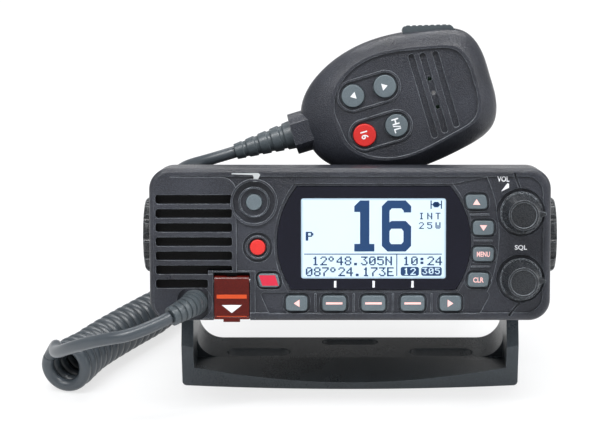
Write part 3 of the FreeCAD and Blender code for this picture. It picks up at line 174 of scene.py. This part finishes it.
def material(name, recipe, **fixed):
    """A material: the recipe gets Object coordinates and returns the sockets that vary by name."""
    made = bpy.data.materials.new(name)
    made.use_nodes = True
    tree = made.node_tree
    shader = tree.nodes["Principled BSDF"]
    start = Signal(tree, tree.nodes.new("ShaderNodeTexCoord").outputs["Object"])
    for socket, value in fixed.items():
        shader.inputs[socket.replace("_", " ")].default_value = value
    for socket, value in recipe(start).items():
        if isinstance(value, Signal):
            tree.links.new(value.socket, shader.inputs[socket])
        else:
            shader.inputs[socket].default_value = value
    return made


def dress(made, *names):
    """Give CAD nodes this material in every slot."""
    for name in names:
        data = nodes[name].data
        if not data.materials:
            data.materials.append(made)
        for place in range(len(data.materials)):
            data.materials[place] = made


def piece(name, vertices, faces, made, body=None, smooth=True, uvs=None):
    """A mesh object from arrays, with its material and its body."""
    data = bpy.data.meshes.new(name)
    data.from_pydata(np.asarray(vertices).tolist(), [], [list(face) for face in faces])
    data.materials.append(made)
    data.polygons.foreach_set("use_smooth", np.full(len(data.polygons), smooth))
    if uvs is not None:
        layer = data.uv_layers.new(name="UVMap")
        corners = np.empty(len(data.loops), np.int32)
        data.loops.foreach_get("vertex_index", corners)
        layer.data.foreach_set("uv", np.asarray(uvs, np.float32)[corners].ravel())
    data.update()
    made_object = bpy.data.objects.new(name, data)
    bpy.context.collection.objects.link(made_object)
    if body:
        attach(made_object, body)
    return made_object


cord_width = 5.0
cord_pitch = 5.15
boot_tip = (-70.5, -55.5, -27.3)
boot_bend = (-62.1, -49.8, -23.3)
tip_gap = 0.3
lead_first_run = 16.0
ring_sides = 16
coil_first_radius = 8.1
coil_wide_radius = 7.0
coil_narrow_radius = 5.3
coil_start_turn = math.radians(-55)
extra_turn = 0.25
radius_turns = (0, 1.5, 4)
narrowing = (0.55, 0.8, 1)
steps_per_turn = 40
axis_step = 0.1
line_step = 0.8
run_out = 9.0


def smooth_line(points):
    """Points of the second-order spline whose control points are these, as an open line."""
    curve = bpy.data.curves.new("route", "CURVE")
    curve.dimensions = "3D"
    curve.resolution_u = 24
    spline = curve.splines.new("NURBS")
    spline.points.add(len(points) - 1)
    spline.points.foreach_set("co", np.column_stack([points, np.ones(len(points))]).ravel())
    spline.order_u = 3
    spline.use_endpoint_u = True
    holder = bpy.data.objects.new("route", curve)
    data = bpy.data.meshes.new_from_object(holder)
    line = np.empty(len(data.vertices) * 3)
    data.vertices.foreach_get("co", line)
    bpy.data.objects.remove(holder)
    bpy.data.curves.remove(curve)
    bpy.data.meshes.remove(data)
    return line.reshape(-1, 3)


def evenly(line, spacing):
    """The same line with points at even distances, by length along it."""
    run = np.concatenate([[0], np.cumsum(np.linalg.norm(np.diff(line, axis=0), axis=1))])
    wanted = np.linspace(0, run[-1], max(2, int(round(run[-1] / spacing)) + 1))
    return np.stack([np.interp(wanted, run, line[:, axis]) for axis in range(3)], -1)


def headings(line):
    """The unit direction at each point of a line, from the points before and after it."""
    along = np.gradient(line, axis=0)
    return along / np.linalg.norm(along, axis=1, keepdims=True)


def side_vectors(line):
    """A vector square to the line at each point, turned as little as possible from point to point."""
    along = headings(line)
    sides = np.empty_like(line)
    side = np.array([0.0, 0.0, 1.0])
    for place, heading in enumerate(along):
        side = side - heading * (side @ heading)
        side = side / np.linalg.norm(side)
        sides[place] = side
    return along, sides


def tube(name, line, radius, made, sides=ring_sides):
    """Rings round a line: middle + radius * (side cos t + cross sin t), joined, with closed ends."""
    along, side = side_vectors(line)
    across = np.cross(along, side)
    turn = np.linspace(0, 2 * math.pi, sides, endpoint=False)
    ring = (np.cos(turn)[None, :, None] * side[:, None] + np.sin(turn)[None, :, None] * across[:, None])
    vertices = (line[:, None] + radius * ring).reshape(-1, 3)
    row = np.arange(len(line) - 1)[:, None] * sides
    column = np.arange(sides)[None]
    ahead = (column + 1) % sides
    walls = np.stack([row + column, row + ahead, row + sides + ahead, row + sides + column], -1)
    walls = walls.reshape(-1, 4)
    ends = [list(range(sides))[::-1], list(range(len(vertices) - sides, len(vertices)))]
    run = np.concatenate([[0], np.cumsum(np.linalg.norm(np.diff(line, axis=0), axis=1))])
    uvs = np.stack([np.repeat(run, sides), np.tile(turn / (2 * math.pi), len(line))], -1)
    return piece(name, vertices, walls.tolist() + ends, made, uvs=uvs)


def cord_finish(start):
    """Soft rubber: nearly even dark grey, with faint smears in the gloss."""
    smear = start.noise(7, 3)
    speck = start.noise(0.5, 2)
    return {"Base Color": smear.between(colour(58, 64, 70), colour(70, 77, 83)),
            "Roughness": 0.24 + smear * 0.16,
            "Normal": speck.bump(0.02, 0.35)}


cord_rubber = material("cord_rubber", cord_finish, Specular_IOR_Level=0.55)

boot_line = headings(np.array([boot_bend, boot_tip]))[0]
lead_start = on_radio([np.add(boot_tip, boot_line * run) for run in (tip_gap, lead_first_run)])
lead_bend = np.array([(-98.4, -66.5, 40.6), (-111.8, -56.0, 32.6), (-120.6, -42.5, 24.0)]) * millimetre
coil_axis = np.array([(-118.5, -28.0, 10.9), (-110.0, -6.0, 10.3), (-98.0, 16.0, 10.1), (-85.5, 38.0, 9.4),
                      (-77.0, 62.0, 8.4), (-68.0, 85.0, 8.4)]) * millimetre
tail_floor = np.array([(-45.0, 95.5, 3.2), (-30.0, 95.5, 3.2), (-21.5, 85.0, 3.2),
                       (-27.0, 73.0, 3.2), (-40.0, 66.0, 4.5), (-53.5, 63.5, 10.0), (-65.0, 60.0, 19.0),
                       (-71.5, 53.0, 31.0), (-74.0, 45.0, 43.5)]) * millimetre
tail_climb = on_radio([(-75.5, 35.0, 6.0), (-75.5, 27.0, 18.0), (-73.5, 16.0, 25.5), (-68.0, 5.5, 28.8)])
tail_end = on_mic([(-82.0, 0, 0), (-70.0, 0, 0)])

axis_line = evenly(smooth_line(coil_axis), axis_step * millimetre)
along, up = side_vectors(axis_line)
right = np.cross(along, up)
share = np.linspace(0, 1, len(axis_line))
axis_length = len(axis_line) * axis_step
turns = axis_length / cord_pitch + extra_turn
helix_share = np.linspace(0, 1, int(turns * steps_per_turn))
turned = coil_start_turn - helix_share * turns * 2 * math.pi
helix_radius = np.interp(helix_share * turns, [*radius_turns, *(turns * part for part in narrowing)],
                         [coil_first_radius, coil_first_radius, coil_wide_radius, coil_wide_radius,
                          coil_narrow_radius, coil_narrow_radius]) * millimetre


def along_axis(values):
    """Values given along the coil's middle line, read at each step of the helix."""
    return np.stack([np.interp(helix_share, share, values[:, axis]) for axis in range(3)], -1)


helix = along_axis(axis_line) + helix_radius[:, None] * (
    np.cos(turned)[:, None] * along_axis(up) + np.sin(turned)[:, None] * along_axis(right))
helix_start = headings(helix[:2])[0]
helix_stop = headings(helix[-2:])[0]

lead_route = [lead_start, lead_bend, helix[0] - helix_start * run_out * millimetre, helix[0]]
lead_line = evenly(smooth_line(np.vstack(lead_route)), line_step * millimetre)
tail_route = [helix[-1], helix[-1] + helix_stop * run_out * millimetre, tail_floor, tail_climb, tail_end]
tail_line = evenly(smooth_line(np.vstack(tail_route)), line_step * millimetre)
hand_over = int(np.argmin(np.linalg.norm(tail_line - tail_climb[1], axis=1)))


def free_cord(name, line, node):
    """A stretch of the cord, a tube along its own line, in place of a CAD node, which it hides."""
    made = tube(name, line, cord_width / 2 * millimetre, cord_rubber)
    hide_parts(node)
    return made


lead = free_cord("cord_lead_rubber", lead_line, "cord_lead")
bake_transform(lead)
coil = free_cord("cord_coil_rubber", helix, "cord_coil")
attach(coil, "bracket")
tail_low = free_cord("cord_tail_rubber", tail_line[:hand_over + 1], "cord_tail")
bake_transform(tail_low)
tail_high = free_cord("cord_upper_tail_rubber", tail_line[hand_over:], "cord_tail")
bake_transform(tail_high)

# Floor and light: a pale table top that keeps the radio's soft shadow, broad lamps at the left, at
# the right and behind, and a narrow strip overhead that draws bright lines along the edges.
white_share = 0.72


def floor_shader(name):
    """Diffuse near-white, mixed with plain white for the camera and for what gloss and glass show."""
    made = bpy.data.materials.new(name)
    made.use_nodes = True
    tree = made.node_tree
    tree.nodes.clear()
    path = Signal(tree, tree.nodes.new("ShaderNodeLightPath").outputs["Is Camera Ray"])
    outputs = path.socket.node.outputs
    seen = path.math("MAXIMUM", Signal(tree, outputs["Is Glossy Ray"]))
    seen = seen.math("MAXIMUM", Signal(tree, outputs["Is Transmission Ray"]))
    plain = path.node("BsdfDiffuse", {"Color": colour(238, 240, 242)})
    white = path.node("Emission", {"Color": (1, 1, 1, 1), "Strength": 1.0})
    mixed = path.node("MixShader", {0: seen * white_share, 1: plain, 2: white})
    output = tree.nodes.new("ShaderNodeOutputMaterial")
    tree.links.new(mixed.socket, output.inputs["Surface"])
    return made


floor_reach = 6.0
floor = piece("floor", [(-floor_reach, -floor_reach, 0), (floor_reach, -floor_reach, 0),
                        (floor_reach, floor_reach, 0), (-floor_reach, floor_reach, 0)], [(0, 1, 2, 3)],
              floor_shader("floor_white"))

world = bpy.data.worlds.new("studio")
world.use_nodes = True
bpy.context.scene.world = world
sky = world.node_tree
sky_path = Signal(sky, sky.nodes.new("ShaderNodeLightPath").outputs["Is Camera Ray"])
sky_light = sky.nodes["Background"]
sky_light.inputs["Color"].default_value = (1, 1, 1, 1)
sky_strength = 0.38
sky.links.new((sky_path * (1 - sky_strength) + sky_strength).socket, sky_light.inputs["Strength"])


def lamp(name, place, target, size, power):
    """A rectangular area lamp at a place in metres, turned to face a target."""
    light = bpy.data.lights.new(name, "AREA")
    light.shape = "RECTANGLE"
    light.size, light.size_y = size
    light.energy = power
    made = bpy.data.objects.new(name, light)
    place = np.array(place, float)
    away = place - np.array(target, float)
    away = away / np.linalg.norm(away)
    side = np.cross((0, 0, 1), away)
    side = side / np.linalg.norm(side)
    upright = np.cross(away, side)
    rows = np.column_stack([side, upright, away, place]).tolist() + [[0, 0, 0, 1]]
    made.matrix_world = Matrix(rows)
    bpy.context.collection.objects.link(made)


lamp("key_lamp", (-0.7, -0.7, 1.3), (0, 0, 0.06), (0.9, 0.7), 11)
lamp("side_lamp", (1.2, -0.5, 0.8), (0, 0, 0.06), (0.6, 0.9), 6)
lamp("back_lamp", (0.1, 0.9, 1.2), (0, 0, 0.08), (1.4, 0.5), 14)
lamp("strip_lamp", (0.05, -0.25, 0.75), (0, -0.03, 0.08), (0.9, 0.06), 5)


# Moulded pieces: the radio's panel and the microphone's halves are black plastic moulded in a
# spark-eroded tool, so they carry a fine sparkling grain. The chassis and the bracket are cast metal
# under a black paint with a finer grain. On all of these the edges get a pale painted highlight.
edge_width = 0.35
smear_size = 22
# Painted highlight: the pale grey that the edges are lightened towards.
edge_highlight_tone = colour(150, 158, 166)


def moulding(name, covered, dark, light, rough, grain=0.5, depth=0.05, edge_highlight_share=0.0, **fixed):
    """Cover CAD nodes with a grained finish of two tones; grain and depth are in millimetres.

    Clouds of two sizes mix the tones and vary the gloss; cells and fine clouds make the grain.
    Where the surface turns within the edge's width it is painted paler, as a highlight, in patches and
    by a given share, and its normal is rounded over, as a moulding's edges are.
    """
    def recipe(start):
        turned = start.node("Bevel", {"Radius": edge_width * millimetre}, samples=6)
        flat = start.node("NewGeometry", output=1)
        bend = 1 - turned.node("VectorMath", {0: turned, 1: flat}, output=1, operation="DOT_PRODUCT")
        fine = start.noise(grain, 3, 0.6)
        broad = start.noise(smear_size, 2)
        spark = start.cells(grain * 0.9).step(0.34, 0.62)
        tone = (fine * 0.65 + broad * 0.35).step(0.32, 0.68).between(dark, light)
        # Painted highlight: where the surface turns at an edge, in patches, the tone is lightened towards a
        # pale grey.
        if edge_highlight_share:
            edge_highlight = bend.step(0.01, 0.12) * start.noise(3, 3).step(0.2, 0.6)
            tone = (edge_highlight * edge_highlight_share).between(tone, edge_highlight_tone)
        return {"Base Color": tone,
                "Roughness": rough + broad * 0.12 - spark * 0.12,
                "Normal": (fine + spark * 0.6).bump(depth, 0.9, turned)}

    dress(material(name, recipe, **fixed), *covered)


moulding("case_plastic", ["front_panel", "mic_front_case", "mic_rear_case"],
         colour(26, 28, 35), colour(50, 53, 62), 0.36, 0.5, 0.09, 0.6)
moulding("chassis_paint", ["rear_chassis"],
         colour(26, 28, 31), colour(38, 40, 44), 0.45, 0.35, 0.04, 0.4)
moulding("bracket_paint", ["mounting_bracket"],
         colour(38, 45, 51), colour(60, 68, 74), 0.34, 0.45, 0.06, 0.5)

# Knobs: harder, glossier black plastic on the volume and squelch shafts and on the clamp screws. The
# microphone's hanger stud and the gland of the rear cable are of the same stock.
moulding("knob_plastic", ["volume_knob", "squelch_knob", "left_bracket_knob", "right_bracket_knob",
                          "mic_hanger_stud", "rear_cable_gland"],
         colour(28, 30, 33), colour(44, 47, 51), 0.3, 0.4, 0.03, 0.8)

# Keys: silicone caps in a blue grey, and red ones for power, for the distress call and for the
# microphone's channel key. The talk button is a darker grey.
moulding("key_grey", ["key_up", "key_down", "key_menu", "key_clear", "key_left", "key_right",
                      "soft_key_left", "soft_key_middle", "soft_key_right", "mic_key_down",
                      "mic_key_up", "mic_key_power", "call_button", "scan_key"],
         colour(84, 95, 101), colour(98, 109, 115), 0.42, 0.5, 0.02)
moulding("talk_grey", ["talk_button"],
         colour(52, 60, 65), colour(66, 74, 79), 0.45, 0.4, 0.02)
moulding("button_red", ["power_button", "distress_button", "mic_key_channel"],
         colour(190, 34, 32), colour(212, 44, 40), 0.4, 0.4, 0.02)

# Distress cover: clear red plastic over a dark pocket, so it looks nearly black red and very glossy.
moulding("cover_red", ["distress_cover"],
         colour(70, 14, 10), colour(92, 20, 12), 0.16, 0.5, 0.005)

# Rubber boots on the cord's two ends: softer and paler than the cases, with smears in the gloss.
moulding("boot_rubber", ["cord_gland", "mic_cord_boot"],
         colour(58, 66, 71), colour(76, 84, 89), 0.36, 0.6, 0.02)

# Pieces inside and behind: gasket and key mat in soft rubber, speaker in black cloth and paper, zinc
# plated steel, nickel plated brass, a white insulator and green boards.
moulding("mat_rubber", ["panel_gasket", "key_mat"],
         colour(24, 24, 26), colour(32, 32, 34), 0.7, 0.6, 0.02)
moulding("net_black", ["speaker_net", "speaker_cone"],
         colour(6, 6, 8), colour(16, 16, 18), 0.8, 0.3, 0.05)
moulding("screw_steel", ["case_screws", "board_screws", "mic_screws", "speaker_frame",
                         "distress_hinge_pin", "distress_cover_spring", "bracket_washers",
                         "shield_can", "mic_capsule", "volume_shaft", "squelch_shaft",
                         "rotary_controls"],
         colour(150, 150, 152), colour(176, 176, 178), 0.3, 0.8, 0.01, Metallic=1.0)
moulding("plated_brass", ["antenna_socket", "thread_inserts"],
         colour(190, 186, 176), colour(206, 202, 192), 0.25, 0.8, 0.01, Metallic=1.0)
moulding("white_insulator", ["antenna_insulator"], colour(225, 225, 220), colour(235, 235, 230), 0.4)
moulding("board_green", ["front_board", "main_board", "mic_board"],
         colour(20, 80, 50), colour(26, 92, 58), 0.4)
moulding("lcd_pale", ["lcd_panel"], colour(190, 205, 215), colour(205, 220, 230), 0.2)

# Display window: hard-coated clear plastic, painted black behind except over the display.
lens_gloss = material("display_gloss", lambda start: {
    "Base Color": start.noise(30, 2).between(colour(12, 13, 24), colour(20, 21, 34)),
    "Roughness": 0.07 + start.noise(12, 3) * 0.06}, Specular_IOR_Level=0.5)
dress(lens_gloss, "display_window")


# Prints and thin plates: closed plates 0.02 mm thick, drawn in the plane of the panel (u right, v up,
# w out of it) or of the microphone's front, and set just in front of the piece they are printed on.
print_thickness = 0.02
letter_weight = 0.02


def in_radio(name):
    """A CAD node's vertices in the radio's own frame, in millimetres: on_radio run backwards."""
    data = nodes[name].data
    points = np.empty(len(data.vertices) * 3)
    data.vertices.foreach_get("co", points)
    x, y, z = (points.reshape(-1, 3) / millimetre).T
    z = z - pivot_height
    turned_y = y * math.cos(lean) - z * math.sin(lean)
    turned_z = y * math.sin(lean) + z * math.cos(lean)
    return np.stack([x, turned_y, turned_z], -1)


def middle_of(name):
    """The middle of a node across and up the panel, and its foremost depth."""
    points = in_radio(name)
    middle = (points.min(0) + points.max(0)) / 2
    return middle[0], middle[2], points[:, 1].min()


def drawn(outlines=None, text=None):
    """Vertices (u, v, w) and faces of closed outlines, or of text, given a thickness."""
    curve = bpy.data.curves.new("print", "FONT" if text else "CURVE")
    if text:
        curve.body = text
        curve.offset = letter_weight
        curve.resolution_u = 3
    else:
        curve.dimensions = "2D"
        for outline in outlines:
            spline = curve.splines.new("POLY")
            spline.points.add(len(outline) - 1)
            for point, (u, v) in zip(spline.points, outline):
                point.co = (u, v, 0, 1)
            spline.use_cyclic_u = True
    curve.fill_mode = "BOTH"
    curve.extrude = print_thickness / 2
    holder = bpy.data.objects.new("print", curve)
    data = bpy.data.meshes.new_from_object(holder)
    points = np.empty(len(data.vertices) * 3)
    data.vertices.foreach_get("co", points)
    faces = [list(face.vertices) for face in data.polygons]
    bpy.data.objects.remove(holder)
    bpy.data.curves.remove(curve)
    bpy.data.meshes.remove(data)
    return points.reshape(-1, 3), faces


def letters(text, u, v, height, width=None):
    """Text scaled to a height and, where given, a width, with its middle at (u, v)."""
    points, faces = drawn(text=text)
    flat = points[:, :2]
    size = flat.max(0) - flat.min(0)
    scale = np.array([(width or height * size[0] / size[1]) / size[0], height / size[1]])
    flat = (flat - (flat.min(0) + flat.max(0)) / 2) * scale + (u, v)
    return np.column_stack([flat, points[:, 2]]), faces


def plates(corners):
    """A closed box for each (left, low, right, high), print_thickness thick."""
    vertices = []
    faces = []
    for left, low, right, high in corners:
        first = len(vertices)
        for w in (-print_thickness / 2, print_thickness / 2):
            vertices += [(left, low, w), (right, low, w), (right, high, w), (left, high, w)]
        faces += [[first + 3, first + 2, first + 1, first], [first + 4, first + 5, first + 6, first + 7]]
        for side in range(4):
            ahead = (side + 1) % 4
            faces.append([first + side, first + ahead, first + 4 + ahead, first + 4 + side])
    return np.array(vertices), faces


def together(*parts):
    """Several (vertices, faces) as one."""
    vertices = []
    faces = []
    for points, polygons in parts:
        faces += [[place + len(vertices) for place in polygon] for polygon in polygons]
        vertices += list(points)
    return np.array(vertices), faces


def rounded(left, low, right, high, radius, steps=5):
    """A rectangle's outline with quarter circles at its corners."""
    outline = []
    for number, (u, v) in enumerate([(right - radius, high - radius), (left + radius, high - radius),
                                     (left + radius, low + radius), (right - radius, low + radius)]):
        for turn in np.linspace(number, number + 1, steps) * math.pi / 2:
            outline.append((u + radius * math.cos(turn), v + radius * math.sin(turn)))
    return outline


def panel_print(name, shape, depth, made, body="radio"):
    """Put a print on the panel: (u, v, w) is (x, depth - w, z) in the radio's frame."""
    points, faces = shape
    u, v, w = points.T
    place = on_radio(np.stack([u, depth - print_thickness - w, v], -1))
    return piece(name, place, faces, made, body=body, smooth=False, uvs=np.stack([u, v], -1))


def ink(name, red, green, blue, painted_glow=0.0, rough=0.4):
    """A print or a lit display, in nearly one colour, with a faint mottle and a painted glow of its own
    colour.
    """
    tone = colour(red, green, blue)

    def recipe(start):
        varied = start.noise(3, 2).between(colour(red * 0.97, green * 0.97, blue * 0.97), tone)
        gloss = rough + start.noise(5, 2) * 0.1
        return {"Base Color": varied, "Roughness": gloss, "Emission Color": varied}

    # Painted glow: the print gives off light in its own colour at this strength, though it is no lamp.
    return material(name, recipe, Emission_Strength=painted_glow)


# Display: a pale blue liquid crystal panel in the black window, lit from behind, with dark blue
# figures: the channel, a made-up position, the time and the power. Dots are 0.51 mm.
lcd_left, lcd_low, lcd_right, lcd_high = -19.5, -13.6, 38.2, 18.5
lcd_corner = 1.0
dot = 0.51
_, _, window_front = middle_of("display_window")


def lcd_recipe(start):
    """Pale blue, darker within a millimetre of the edge, where the window's frame shades it."""
    place = start.node("UVMap")
    u, v, _ = place.axes()
    inside = (u - lcd_left).math("MINIMUM", lcd_right - u)
    inside = inside.math("MINIMUM", (v - lcd_low).math("MINIMUM", lcd_high - v))
    tone = inside.step(-0.1, 1.1).between(colour(140, 160, 176), colour(192, 212, 226))
    return {"Base Color": tone, "Emission Color": tone, "Roughness": 0.25 + start.noise(9, 2) * 0.08}


lcd_light = material("lcd_light", lcd_recipe, Emission_Strength=0.2)
panel_print("lcd_face", drawn([rounded(lcd_left, lcd_low, lcd_right, lcd_high, lcd_corner)]),
            window_front, lcd_light)
lcd_ink = ink("lcd_ink", 0, 52, 98, 0.03, 0.5)

glyphs = {
    "0": "01110 10001 10011 10101 11001 10001 01110",
    "1": "00100 01100 00100 00100 00100 00100 01110",
    "2": "01110 10001 00001 00010 00100 01000 11111",
    "3": "11111 00010 00100 00010 00001 10001 01110",
    "4": "00010 00110 01010 10010 11111 00010 00010",
    "5": "11111 10000 11110 00001 00001 10001 01110",
    "7": "11111 00001 00010 00100 01000 01000 01000",
    "8": "01110 10001 10001 01110 10001 10001 01110",
    ".": "00000 00000 00000 00000 00000 01100 01100",
    ":": "00000 01100 01100 00000 01100 01100 00000",
    "*": "01100 10010 10010 01100 00000 00000 00000",
    "N": "10001 10001 11001 10101 10011 10001 10001",
    "E": "11111 10000 10000 11110 10000 10000 11111",
    "W": "10001 10001 10001 10101 10101 10101 01010",
    "I": "01110 00100 00100 00100 00100 00100 01110",
    "T": "11111 00100 00100 00100 00100 00100 00100",
    "P": "11110 10001 10001 11110 10000 10000 10000",
}


def dots(text, left, high, size=dot, advance=3.24, weight=1.0):
    """Boxes for rows of dots, five across and seven down a glyph; * stands for a degree sign."""
    found = []
    for number, letter in enumerate(text):
        for row, line in enumerate(glyphs[letter].split()):
            for column, filled in enumerate(line):
                if filled == "1":
                    u = left + number * advance + column * size
                    v = high - (row + 1) * size
                    found.append((u, v, u + size * weight, v + size))
    return found


one = [(0, 31), (0, 35.5), (4.5, 40), (11.8, 40), (11.8, 6), (15.7, 6), (15.7, 0), (0, 0), (0, 6), (4.5, 6),
       (4.5, 31)]
six = [(0, 35.5), (4.5, 40), (18.6, 40), (22.9, 35.5), (22.9, 30.6), (17, 30.6), (17, 32), (15.2, 33.8),
       (7.8, 33.8), (6, 32), (6, 23), (7.8, 24), (18.6, 24), (22.9, 19.7), (22.9, 4.4), (18.6, 0), (4.5, 0),
       (0, 4.4)]
six_hole = [(6, 16), (7.4, 17.9), (15.2, 17.9), (16.9, 16), (16.9, 7.7), (15.2, 5.8), (7.4, 5.8), (6, 7.7)]
channel_left, channel_low = 1.70, -2.76
six_start = 21.5


def scaled(outline, start):
    """An outline in dots, moved right by start dots, as millimetres on the panel."""
    return [(channel_left + (u + start) * dot, channel_low + v * dot) for u, v in outline]


channel = drawn([scaled(one, 0), scaled(six, six_start), scaled(six_hole, six_start)])
badge_low, badge_high, badge_corner = -12.52, -8.9, 0.9
badges = drawn([rounded(20.2, badge_low, 27.5, badge_high, badge_corner),
                rounded(28.4, badge_low, 36.6, badge_high, badge_corner)])
rules = [(-18.26, -3.99, 36.6, -3.61), (18.46, -12.5, 18.84, -3.8)]
small = (dots("12*48.305N", -15.1, -4.74, weight=1.3) + dots("087*24.173E", -17.65, -9.08, weight=1.3)
         + dots("10:24", 21.1, -4.74, weight=1.3)
         + dots("INT", 27.4, 12.75, 0.38, 3.3, 1.35) + dots("25W", 27.4, 8.95, 0.38, 3.3, 1.35)
         + dots("P", -17.65, 5.15, dot, 4.0, 2.0))
icon = [(32.0, 14.3, 32.5, 17.6), (36.1, 14.3, 36.6, 17.6), (32.5, 15.8, 36.1, 16.2),
        (33.4, 14.9, 35.2, 17.1), (33.0, 15.3, 35.6, 16.7)]
panel_print("lcd_figures", together(channel, badges, plates(rules + small + icon)),
            window_front - print_thickness * 1.5, lcd_ink)
badge_text = dots("12", 21.4, -9.3, 0.4, 2.7, 1.3) + dots("305", 28.9, -9.3, 0.36, 2.5, 1.25)
panel_print("lcd_badge_text", plates(badge_text), window_front - print_thickness * 3, lcd_light)

# White prints on the window and the panel: three marks over the soft keys and the names of the two knobs
# with the volume's wedge; and a painted highlight in pale grey along the rim's edge, down to the call key.
# White prints, with a painted glow.
print_white = ink("print_white", 226, 228, 232, 0.1)
tick_places = (-5.91, 9.44, 24.94)
tick_width, tick_low, tick_high = 0.94, -17.23, -14.55
panel_print("soft_key_marks", plates([(u - tick_width / 2, tick_low, u + tick_width / 2, tick_high)
                                      for u in tick_places]), window_front, print_white)
panel_face = -43.3
rim_front = -44.0
wedge = [(60.0, 21.2), (62.5, 24.5), (63.2, 24.3), (63.2, 22.7)]
names = [letters("VOL", 60.9, 26.2, 2.2, 4.8), letters("SQL", 68.1, -1.3, 2.2, 4.9)]
panel_print("knob_names", together(*names, drawn([wedge])), panel_face, print_white)
# Painted highlight: a pale grey L along the rim's top edge, with a tab down to the call key's ring.
call_edge_highlight = [(-47.0, 28.6), (-36.4, 28.6), (-35.6, 27.9), (-36.9, 25.2), (-38.6, 25.2), (-38.2, 27.0),
             (-38.6, 27.8), (-47.0, 28.1)]
panel_print("call_edge_highlight", drawn([call_edge_highlight]), rim_front, ink("highlight_grey", 176, 180, 182))

# Legends on the keys: pale pink paint, arrows and bars on the display's keys and plain words on two.
# Pink legends, with a painted glow.
legend_pink = ink("legend_pink", 250, 196, 192, 0.12)
arrow_half, arrow_long = 1.5, 2.3
legend_height = 2.1
bar_half = 3.3
bar_thick = 0.84
mic_letter_height = 3.0


def arrow(u, v, turn):
    """A triangle with its middle at (u, v), turned left from pointing up by this many degrees."""
    shape = [(-arrow_half, -arrow_long / 2), (arrow_half, -arrow_long / 2), (0, arrow_long / 2)]
    cosine = math.cos(math.radians(turn))
    sine = math.sin(math.radians(turn))
    return drawn([[(u + a * cosine - b * sine, v + a * sine + b * cosine) for a, b in shape]])


for name, kind in (("key_up", 0), ("key_down", 180), ("key_left", 90), ("key_right", -90),
                   ("soft_key_left", "bar"), ("soft_key_middle", "bar"), ("soft_key_right", "bar"),
                   ("key_menu", "MENU"), ("key_clear", "CLR")):
    u, v, depth = middle_of(name)
    if kind == "bar":
        shape = plates([(u - bar_half, v - bar_thick / 2, u + bar_half, v + bar_thick / 2)])
    elif isinstance(kind, str):
        shape = letters(kind, u, v, legend_height, 5.2 if kind == "MENU" else 4.2)
    else:
        shape = arrow(u, v, kind)
    panel_print(name + "_legend", shape, depth, legend_pink, name + "_body")

# Scanning key: a slanted red label on the grey cap.
scan_u, scan_v, scan_front = middle_of("scan_key")
label = [(-3.9, 2.1), (2.5, 2.1), (3.9, -2.1), (-2.5, -2.1)]
panel_print("scan_label", drawn([[(scan_u + u, scan_v + v) for u, v in label]]), scan_front,
            ink("label_red", 200, 34, 62, 0.03), "scan_key_body")

# Key rings: a polished ring in the well round the call key and one round the power key.
ring_wire = 0.28
ring_proud = 0.2


def ring(name, u, v, radius, depth, made):
    """A torus: (R + r cos s)(cos t, sin t) across the panel and r sin s out of it."""
    around, across = 72, 10
    turn = np.linspace(0, 2 * math.pi, around, endpoint=False)[:, None]
    section = np.linspace(0, 2 * math.pi, across, endpoint=False)[None]
    reach = radius + ring_wire * np.cos(section) + 0 * turn
    points = np.stack([u + reach * np.cos(turn), depth + ring_wire * np.sin(section) + 0 * turn,
                       v + reach * np.sin(turn)], -1).reshape(-1, 3)
    first = np.arange(around)[:, None] * across
    ahead = (np.arange(around)[:, None] + 1) % around * across
    near = np.arange(across)[None]
    far = (near + 1) % across
    faces = np.stack([first + near, ahead + near, ahead + far, first + far], -1).reshape(-1, 4)
    return piece(name, on_radio(points), faces.tolist(), made, body="radio")


ring_gloss = material("ring_gloss", lambda start: {
    "Base Color": start.noise(4, 2).between(colour(62, 66, 72), colour(96, 101, 108)),
    "Roughness": 0.14 + start.noise(2, 2) * 0.1}, Metallic=0.7)
for key, radius in (("call_button", 5.8), ("power_button", 4.4)):
    u, v, _ = middle_of(key)
    ring(key + "_ring", u, v, radius, panel_face - ring_proud, ring_gloss)

# Distress cover's prints: an orange band, a thinner one under it and a white triangle that points
# the way the cover opens.
cover_u, _, _ = middle_of("distress_cover")
cover_proud = 0.5
cover_front = panel_face - cover_proud
band_orange = ink("band_orange", 196, 70, 24, 0.05, 0.3)
band_half = 6.0
bands = [(cover_u - band_half, -21.6, cover_u + band_half, -20.0),
         (cover_u - band_half, -29.3, cover_u + band_half, -28.6)]
panel_print("distress_bands", plates(bands), cover_front, band_orange, "distress_flap")
cover_arrow = [(cover_u - 4.0, -24.2), (cover_u, -27.4), (cover_u + 4.0, -24.2)]
panel_print("distress_arrow", drawn([cover_arrow]), cover_front, print_white, "distress_flap")


# Legends on the microphone's keys: white paint, two arrows, the channel number and a power mark. The
# words run along -B with their tops towards +A, as the microphone is read upright in the hand.
def mic_middle(name):
    """The middle of a node along A and B, and how far out along C it reaches."""
    x, y, z = in_radio(name).T
    x = x - mic_place[0]
    z = z - mic_place[2]
    a = x * math.cos(mic_turn) + z * math.sin(mic_turn)
    b = z * math.cos(mic_turn) - x * math.sin(mic_turn)
    return (a.min() + a.max()) / 2, (b.min() + b.max()) / 2, (mic_place[1] - y).max()


for name, kind in (("mic_key_down", 180), ("mic_key_up", 0), ("mic_key_channel", "16"),
                   ("mic_key_power", "H/L")):
    a, b, reach = mic_middle(name)
    if isinstance(kind, str):
        points, faces = letters(kind, 0, 0, mic_letter_height)
    else:
        points, faces = arrow(0, 0, kind)
    u, v, w = points.T
    place = on_mic(np.stack([a + v, b - u, reach + print_thickness + w], -1))
    piece(name + "_legend", place, faces, print_white, body=name + "_body", smooth=False)
